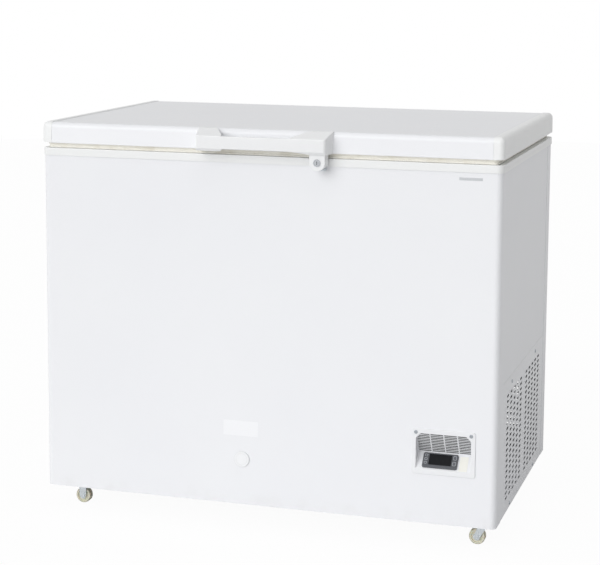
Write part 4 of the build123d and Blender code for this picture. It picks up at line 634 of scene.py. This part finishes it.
window = Finish("black display window", {"Specular IOR Level": 0.12})
wiped = window.noise(WIPED_SCALE, detail=4.0)
window.feed(Base_Color=window.mix(window.noise(SMEAR_SCALE), WINDOW_BLACK, WINDOW_SHADE),
            Roughness=wiped * 0.14 + 0.12)
dress(window, "display_window")

slope_length = math.hypot(SLOPE_RUN, SLOPE_RISE)
slope = seat(SLOPE_MIDDLE, Vector((1, 0, 0)), Vector((0.0, SLOPE_RUN, SLOPE_RISE)) / slope_length,
             Vector((0.0, -SLOPE_RISE, SLOPE_RUN)) / slope_length)


def outline(width, height, corner, inset):
    """Points round a rectangle with round corners, anticlockwise."""
    corner = max(corner - inset, SHARPEST_CORNER)
    points = []
    for quarter, (side_x, side_y) in enumerate(((1, 1), (-1, 1), (-1, -1), (1, -1))):
        for step in range(CORNER_STEPS + 1):
            angle = (quarter + step / CORNER_STEPS) * math.pi / 2
            points.append((side_x * (width / 2 - inset - corner) + corner * math.cos(angle),
                           side_y * (height / 2 - inset - corner) + corner * math.sin(angle)))
    return points


def flat_plate(name, place, size, thickness, finish, rim=0.0):
    """Thin plate with a soft edge, or a frame of that rim, on a seat at place."""
    width, height, corner = size
    edge = thickness * EDGE_SHARE
    steps = [(0.0, 0.0), (0.0, thickness - edge), (edge, thickness)]
    if rim:
        steps += [(rim - edge, thickness), (rim, thickness - edge), (rim, 0.0)]
    shape = bmesh.new()
    loops = [[shape.verts.new(place @ Vector((x, y, z)))
              for x, y in outline(width, height, corner, inset)] for inset, z in steps]
    pairs = list(zip(loops, loops[1:]))
    if rim:
        pairs.append((loops[-1], loops[0]))
    else:
        shape.faces.new(loops[-1])
        shape.faces.new(list(reversed(loops[0])))
    for lower, upper in pairs:
        for i in range(len(lower)):
            j = (i + 1) % len(lower)
            shape.faces.new((lower[i], lower[j], upper[j], upper[i]))
    mesh = bpy.data.meshes.new(name)
    shape.to_mesh(mesh)
    mesh.materials.append(finish.material)
    return new_piece(name, mesh)


key_print = moulded("pale key print", PRINT_PALE, PRINT_SHADE, roughness=0.55)
for key in keys:
    spot = slope.inverted() @ middle_of(key)
    on_key = slope @ Matrix.Translation((spot.x, spot.y, FACE_PROUD + KEY_PROUD))
    ring_size = LEFT_RING if "left" in key else RIGHT_RING
    ring = flat_plate(key + "_ring", on_key, ring_size, RING_THICKNESS, key_print, rim=RING_RIM)
    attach(ring, key)

window_frame = flat_plate("display_frame", slope @ Matrix.Translation((0, WINDOW_LIFT, FACE_PROUD)),
                          WINDOW_FRAME, WINDOW_THICKNESS, controller, rim=WINDOW_RIM)
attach(window_frame, "cabinet")

# Blank plates. A cream tag beside the controller, a bare label on the front and a bare badge at
# the upper right: thin printed-film stock with a soft edge, each stuck flat on its seat.
TAG_CREAM = paint("#f0efe9")
TAG_SHADE = paint("#e9e8e0")
TAG_SIZE = (0.0190, 0.0370, 0.0008)
TAG_PLACE = (0.0545, -0.002, 0.0)
LABEL_WHITE = paint("#f3f4f6")
LABEL_SHADE = paint("#eeeff2")
LABEL_SIZE = (0.086, 0.036, 0.0015)
LABEL_PLACE = (-0.055, 0.241)
BADGE_GREY = paint("#cfd1d4")
BADGE_SHADE = paint("#bfc2c6")
BADGE_SIZE = (0.053, 0.0062, 0.0008)
BADGE_PLACE = (0.4835, 0.855)
FILM = 0.0003
BADGE_FILM = 2 * FILM
FIBRE_SCALE = 500.0
FIBRE_HEIGHT = 0.00001


def film(name, light, dark, roughness):
    """Coated film with a fine fibre in it."""
    stock = Finish(name, {"Specular IOR Level": 0.4, "Roughness": roughness})
    fibre = stock.noise(FIBRE_SCALE, detail=3.0)
    return stock.feed(Base_Color=stock.mix(fibre, light, dark),
                      Normal=stock.relief(fibre * FIBRE_HEIGHT))


def facing_front(x, z):
    """Seat on the front panel with its outward side to the front."""
    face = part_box("front_panel")[0].y
    return seat((x, face, z), Vector((1, 0, 0)), Vector((0, 0, 1)), Vector((0, -1, 0)))


tag = flat_plate("blank_tag", slope @ Matrix.Translation(TAG_PLACE), TAG_SIZE, FILM,
                 film("cream tag film", TAG_CREAM, TAG_SHADE, roughness=0.5))
label = flat_plate("blank_label", facing_front(*LABEL_PLACE), LABEL_SIZE, FILM,
                   film("white label film", LABEL_WHITE, LABEL_SHADE, roughness=0.35))
badge = flat_plate("blank_badge", facing_front(*BADGE_PLACE), BADGE_SIZE, BADGE_FILM,
                   film("pale grey badge film", BADGE_GREY, BADGE_SHADE, roughness=0.3))
for sticker in (tag, label, badge):
    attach(sticker, "cabinet")

# Drain cap. A round white cap that plugs the drain in the front wall, almost flush, with a shallow ring
# moulded into its face. Painted shade darkens the ring a little and the cap's outer rim strongly, where
# the cap meets the panel.
CAP_RADIUS = 0.019
CAP_PAINTED_SHADE = paint("#cfd1d3")
CAP_GROOVE_INNER = 0.66
CAP_GROOVE_MIDDLE = 0.72
CAP_GROOVE_OUTER = 0.78
CAP_RIM = 0.93
CAP_GROOVE_HEIGHT = -0.0004
CAP_GRAIN_SCALE = 400.0

cap_plastic = Finish("white drain cap plastic", {"Specular IOR Level": 0.45})
cap_reach = reach_from(cap_plastic, middle_of("drain_cap"))
inside, outside, painted_rim_shadow = (
    cap_plastic.ramp(cap_reach, CAP_RADIUS * first, CAP_RADIUS * last)
    for first, last in ((CAP_GROOVE_INNER, CAP_GROOVE_MIDDLE), (CAP_GROOVE_MIDDLE, CAP_GROOVE_OUTER),
                        (CAP_RIM, 1.0)))
groove = inside * (1 - outside)
# Painted shade: the colour darkens slightly in the moulded groove and strongly at the outer rim, the
# seam's shadow.
cap_plastic.feed(Base_Color=cap_plastic.mix(groove * 0.15 + painted_rim_shadow * 0.8, COAT_WHITE, CAP_PAINTED_SHADE),
                 Roughness=cap_plastic.noise(CAP_GRAIN_SCALE) * 0.1 + 0.32,
                 Normal=cap_plastic.relief(groove * CAP_GROOVE_HEIGHT))
dress(cap_plastic, "drain_cap")

# Lid. A coated steel top sheet between two moulded end caps, foam inside, and a moulded inner
# panel whose plug hangs into the cabinet's mouth.
PANEL_WHITE = paint("#edeeec")
PANEL_SHADE = paint("#e4e5e2")

lid_coat = powder_coat("white lid coat", roughness=0.38)
dress(lid_coat, "lid_skin")
inner_plastic = moulded("white inner panel plastic", PANEL_WHITE, PANEL_SHADE, roughness=0.36,
                        texture_height=MEDIUM_TEXTURE)
dress(inner_plastic, "lid_inner_panel")

# Lid gasket. One cream rubber extrusion, cut and welded into a frame: a flat flange in the lid,
# a narrower bellows, and a soft foot that holds the magnet and meets the cabinet's frame.
GASKET_CREAM = paint("#f3f1e9")
GASKET_DEEP = paint("#e6e2d6")
GASKET_WIDTH = 0.014
GASKET_CORNER = 0.004
GASKET_CORNER_STEPS = 8
PROFILE_CORNER_STEPS = 3
FLANGE_SHARE = 0.30
NECK_SHARE = 0.34
GREASE_SCALE = 35.0
RUBBER_GRAIN_SCALE = 500.0
RUBBER_GRAIN_HEIGHT = 0.00002

gasket_low, gasket_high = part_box("lid_gasket")
gasket_size = gasket_high - gasket_low
gasket_middle = middle_of("lid_gasket")
gasket_rubber = Finish("cream gasket rubber", {"Specular IOR Level": 0.35})
grease = gasket_rubber.noise(GREASE_SCALE, detail=5.0)
gasket_rubber.feed(
    Base_Color=gasket_rubber.mix(gasket_rubber.ramp(grease, 0.4, 0.8), GASKET_CREAM, GASKET_DEEP),
    Roughness=grease * 0.15 + 0.45,
    Normal=gasket_rubber.relief(gasket_rubber.noise(RUBBER_GRAIN_SCALE) * RUBBER_GRAIN_HEIGHT))
gasket = Pattern("gasket_frame", {
    "Length": gasket_size.x, "Depth": gasket_size.y, "Height": gasket_size.z,
    "Width": GASKET_WIDTH, "Corner": GASKET_CORNER})


def gasket_band(share_low, share_high, roundness, width_share):
    """Rounded band of the extrusion between two shares of its height."""
    length, depth, height, width, corner = (
        gasket.get[key] for key in ("Length", "Depth", "Height", "Width", "Corner"))
    path = gasket.rounded(length - width, depth - width, corner, GASKET_CORNER_STEPS)
    band_height = height * (share_high - share_low)
    profile = gasket.rounded(width * width_share, band_height, band_height * roundness,
                             PROFILE_CORNER_STEPS)
    raised = gasket.vector(Z=height * ((share_low + share_high) / 2))
    return gasket.move(gasket.sweep(path, profile), raised)


bands = [
    gasket_band(0.0, 1 - FLANGE_SHARE - NECK_SHARE, roundness=0.45, width_share=0.92),
    gasket_band(0.9 - FLANGE_SHARE - NECK_SHARE, 1.05 - FLANGE_SHARE, roundness=0.30, width_share=0.6),
    gasket_band(1 - FLANGE_SHARE, 1.0, roundness=0.20, width_share=1.0),
]
gasket_place = (gasket_middle.x, gasket_middle.y, gasket_low.z)
seal = gasket.make(gasket.move(gasket.join(bands), gasket_place), gasket_rubber)
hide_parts("lid_gasket")
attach(seal, "lid")

# Handle and lock. One moulded white bar in front of the lid with a lock housing under its right
# end; a chrome cam lock turns in it, and a steel strike stands on the front panel behind it.
HANDLE_SHADE = paint("#e7e8ea")
CHROME_BRIGHT = paint("#d5d8dc")
CHROME_SHADE = paint("#b4b8bd")
POLISH_SCALE = 800.0
STRIKE_SPANGLE_SCALE = 300.0

handle_plastic = moulded("white handle plastic", TRIM_WHITE, HANDLE_SHADE, roughness=0.32)
dress(handle_plastic, "handle", "lock_housing")

chrome = Finish("polished lock chrome", {"Metallic": 1.0})
polish = chrome.noise(POLISH_SCALE, detail=3.0)
chrome.feed(Base_Color=chrome.mix(polish, CHROME_BRIGHT, CHROME_SHADE), Roughness=polish * 0.2 + 0.08)
dress(chrome, "lock_cylinder")
strike_steel = zinc_plate("dark zinc strike", STRIKE_SPANGLE_SCALE)
dress(strike_steel, "lock_strike")

# Hinge springs. A torsion spring of hard steel wire round each hinge pin helps to lift the lid.
# It is wound from one wire, beside the knuckle and between the ears of the hinge.
SPRING_TURNS = 5
SPRING_RADIUS = 0.0064
SPRING_WIRE = 0.0011
SPRING_PITCH = 0.0024
SPRING_RUN = (SPRING_TURNS - 1) * SPRING_PITCH
COIL_STEPS = 24
WIRE_SIDES = 8
SPRING_GREY = paint("#8b8f95")
SPRING_OILED = paint("#4e5157")
OIL_SCALE = 260.0

spring_low, spring_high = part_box("hinge_springs")
spring_middle = middle_of("hinge_springs")
spring_steel = Finish("oiled spring steel", {"Metallic": 1.0})
oil = spring_steel.noise(OIL_SCALE, detail=4.0)
spring_steel.feed(Base_Color=spring_steel.mix(oil, SPRING_GREY, SPRING_OILED), Roughness=oil * 0.3 + 0.2)
coil = Pattern("torsion_springs", {
    "Turns": float(SPRING_TURNS - 1), "Radius": SPRING_RADIUS, "Wire": SPRING_WIRE,
    "Length": SPRING_RUN})
helix = coil.node("GeometryNodeCurveSpiral", None, {
    "Resolution": COIL_STEPS, "Rotations": coil.get["Turns"], "Start Radius": coil.get["Radius"],
    "End Radius": coil.get["Radius"], "Height": coil.get["Length"]})
wound = coil.sweep(helix, coil.circle(coil.get["Wire"], WIRE_SIDES))
along_x = (0.0, math.pi / 2, 0.0)
starts = (spring_low.x + SPRING_WIRE, spring_high.x - SPRING_WIRE - SPRING_RUN)
coils = [coil.move(wound, (start, spring_middle.y, spring_middle.z), along_x) for start in starts]
springs = coil.make(coil.join(coils), spring_steel)
for polygon in springs.data.polygons:
    polygon.use_smooth = True
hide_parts("hinge_springs")
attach(springs, "cabinet")
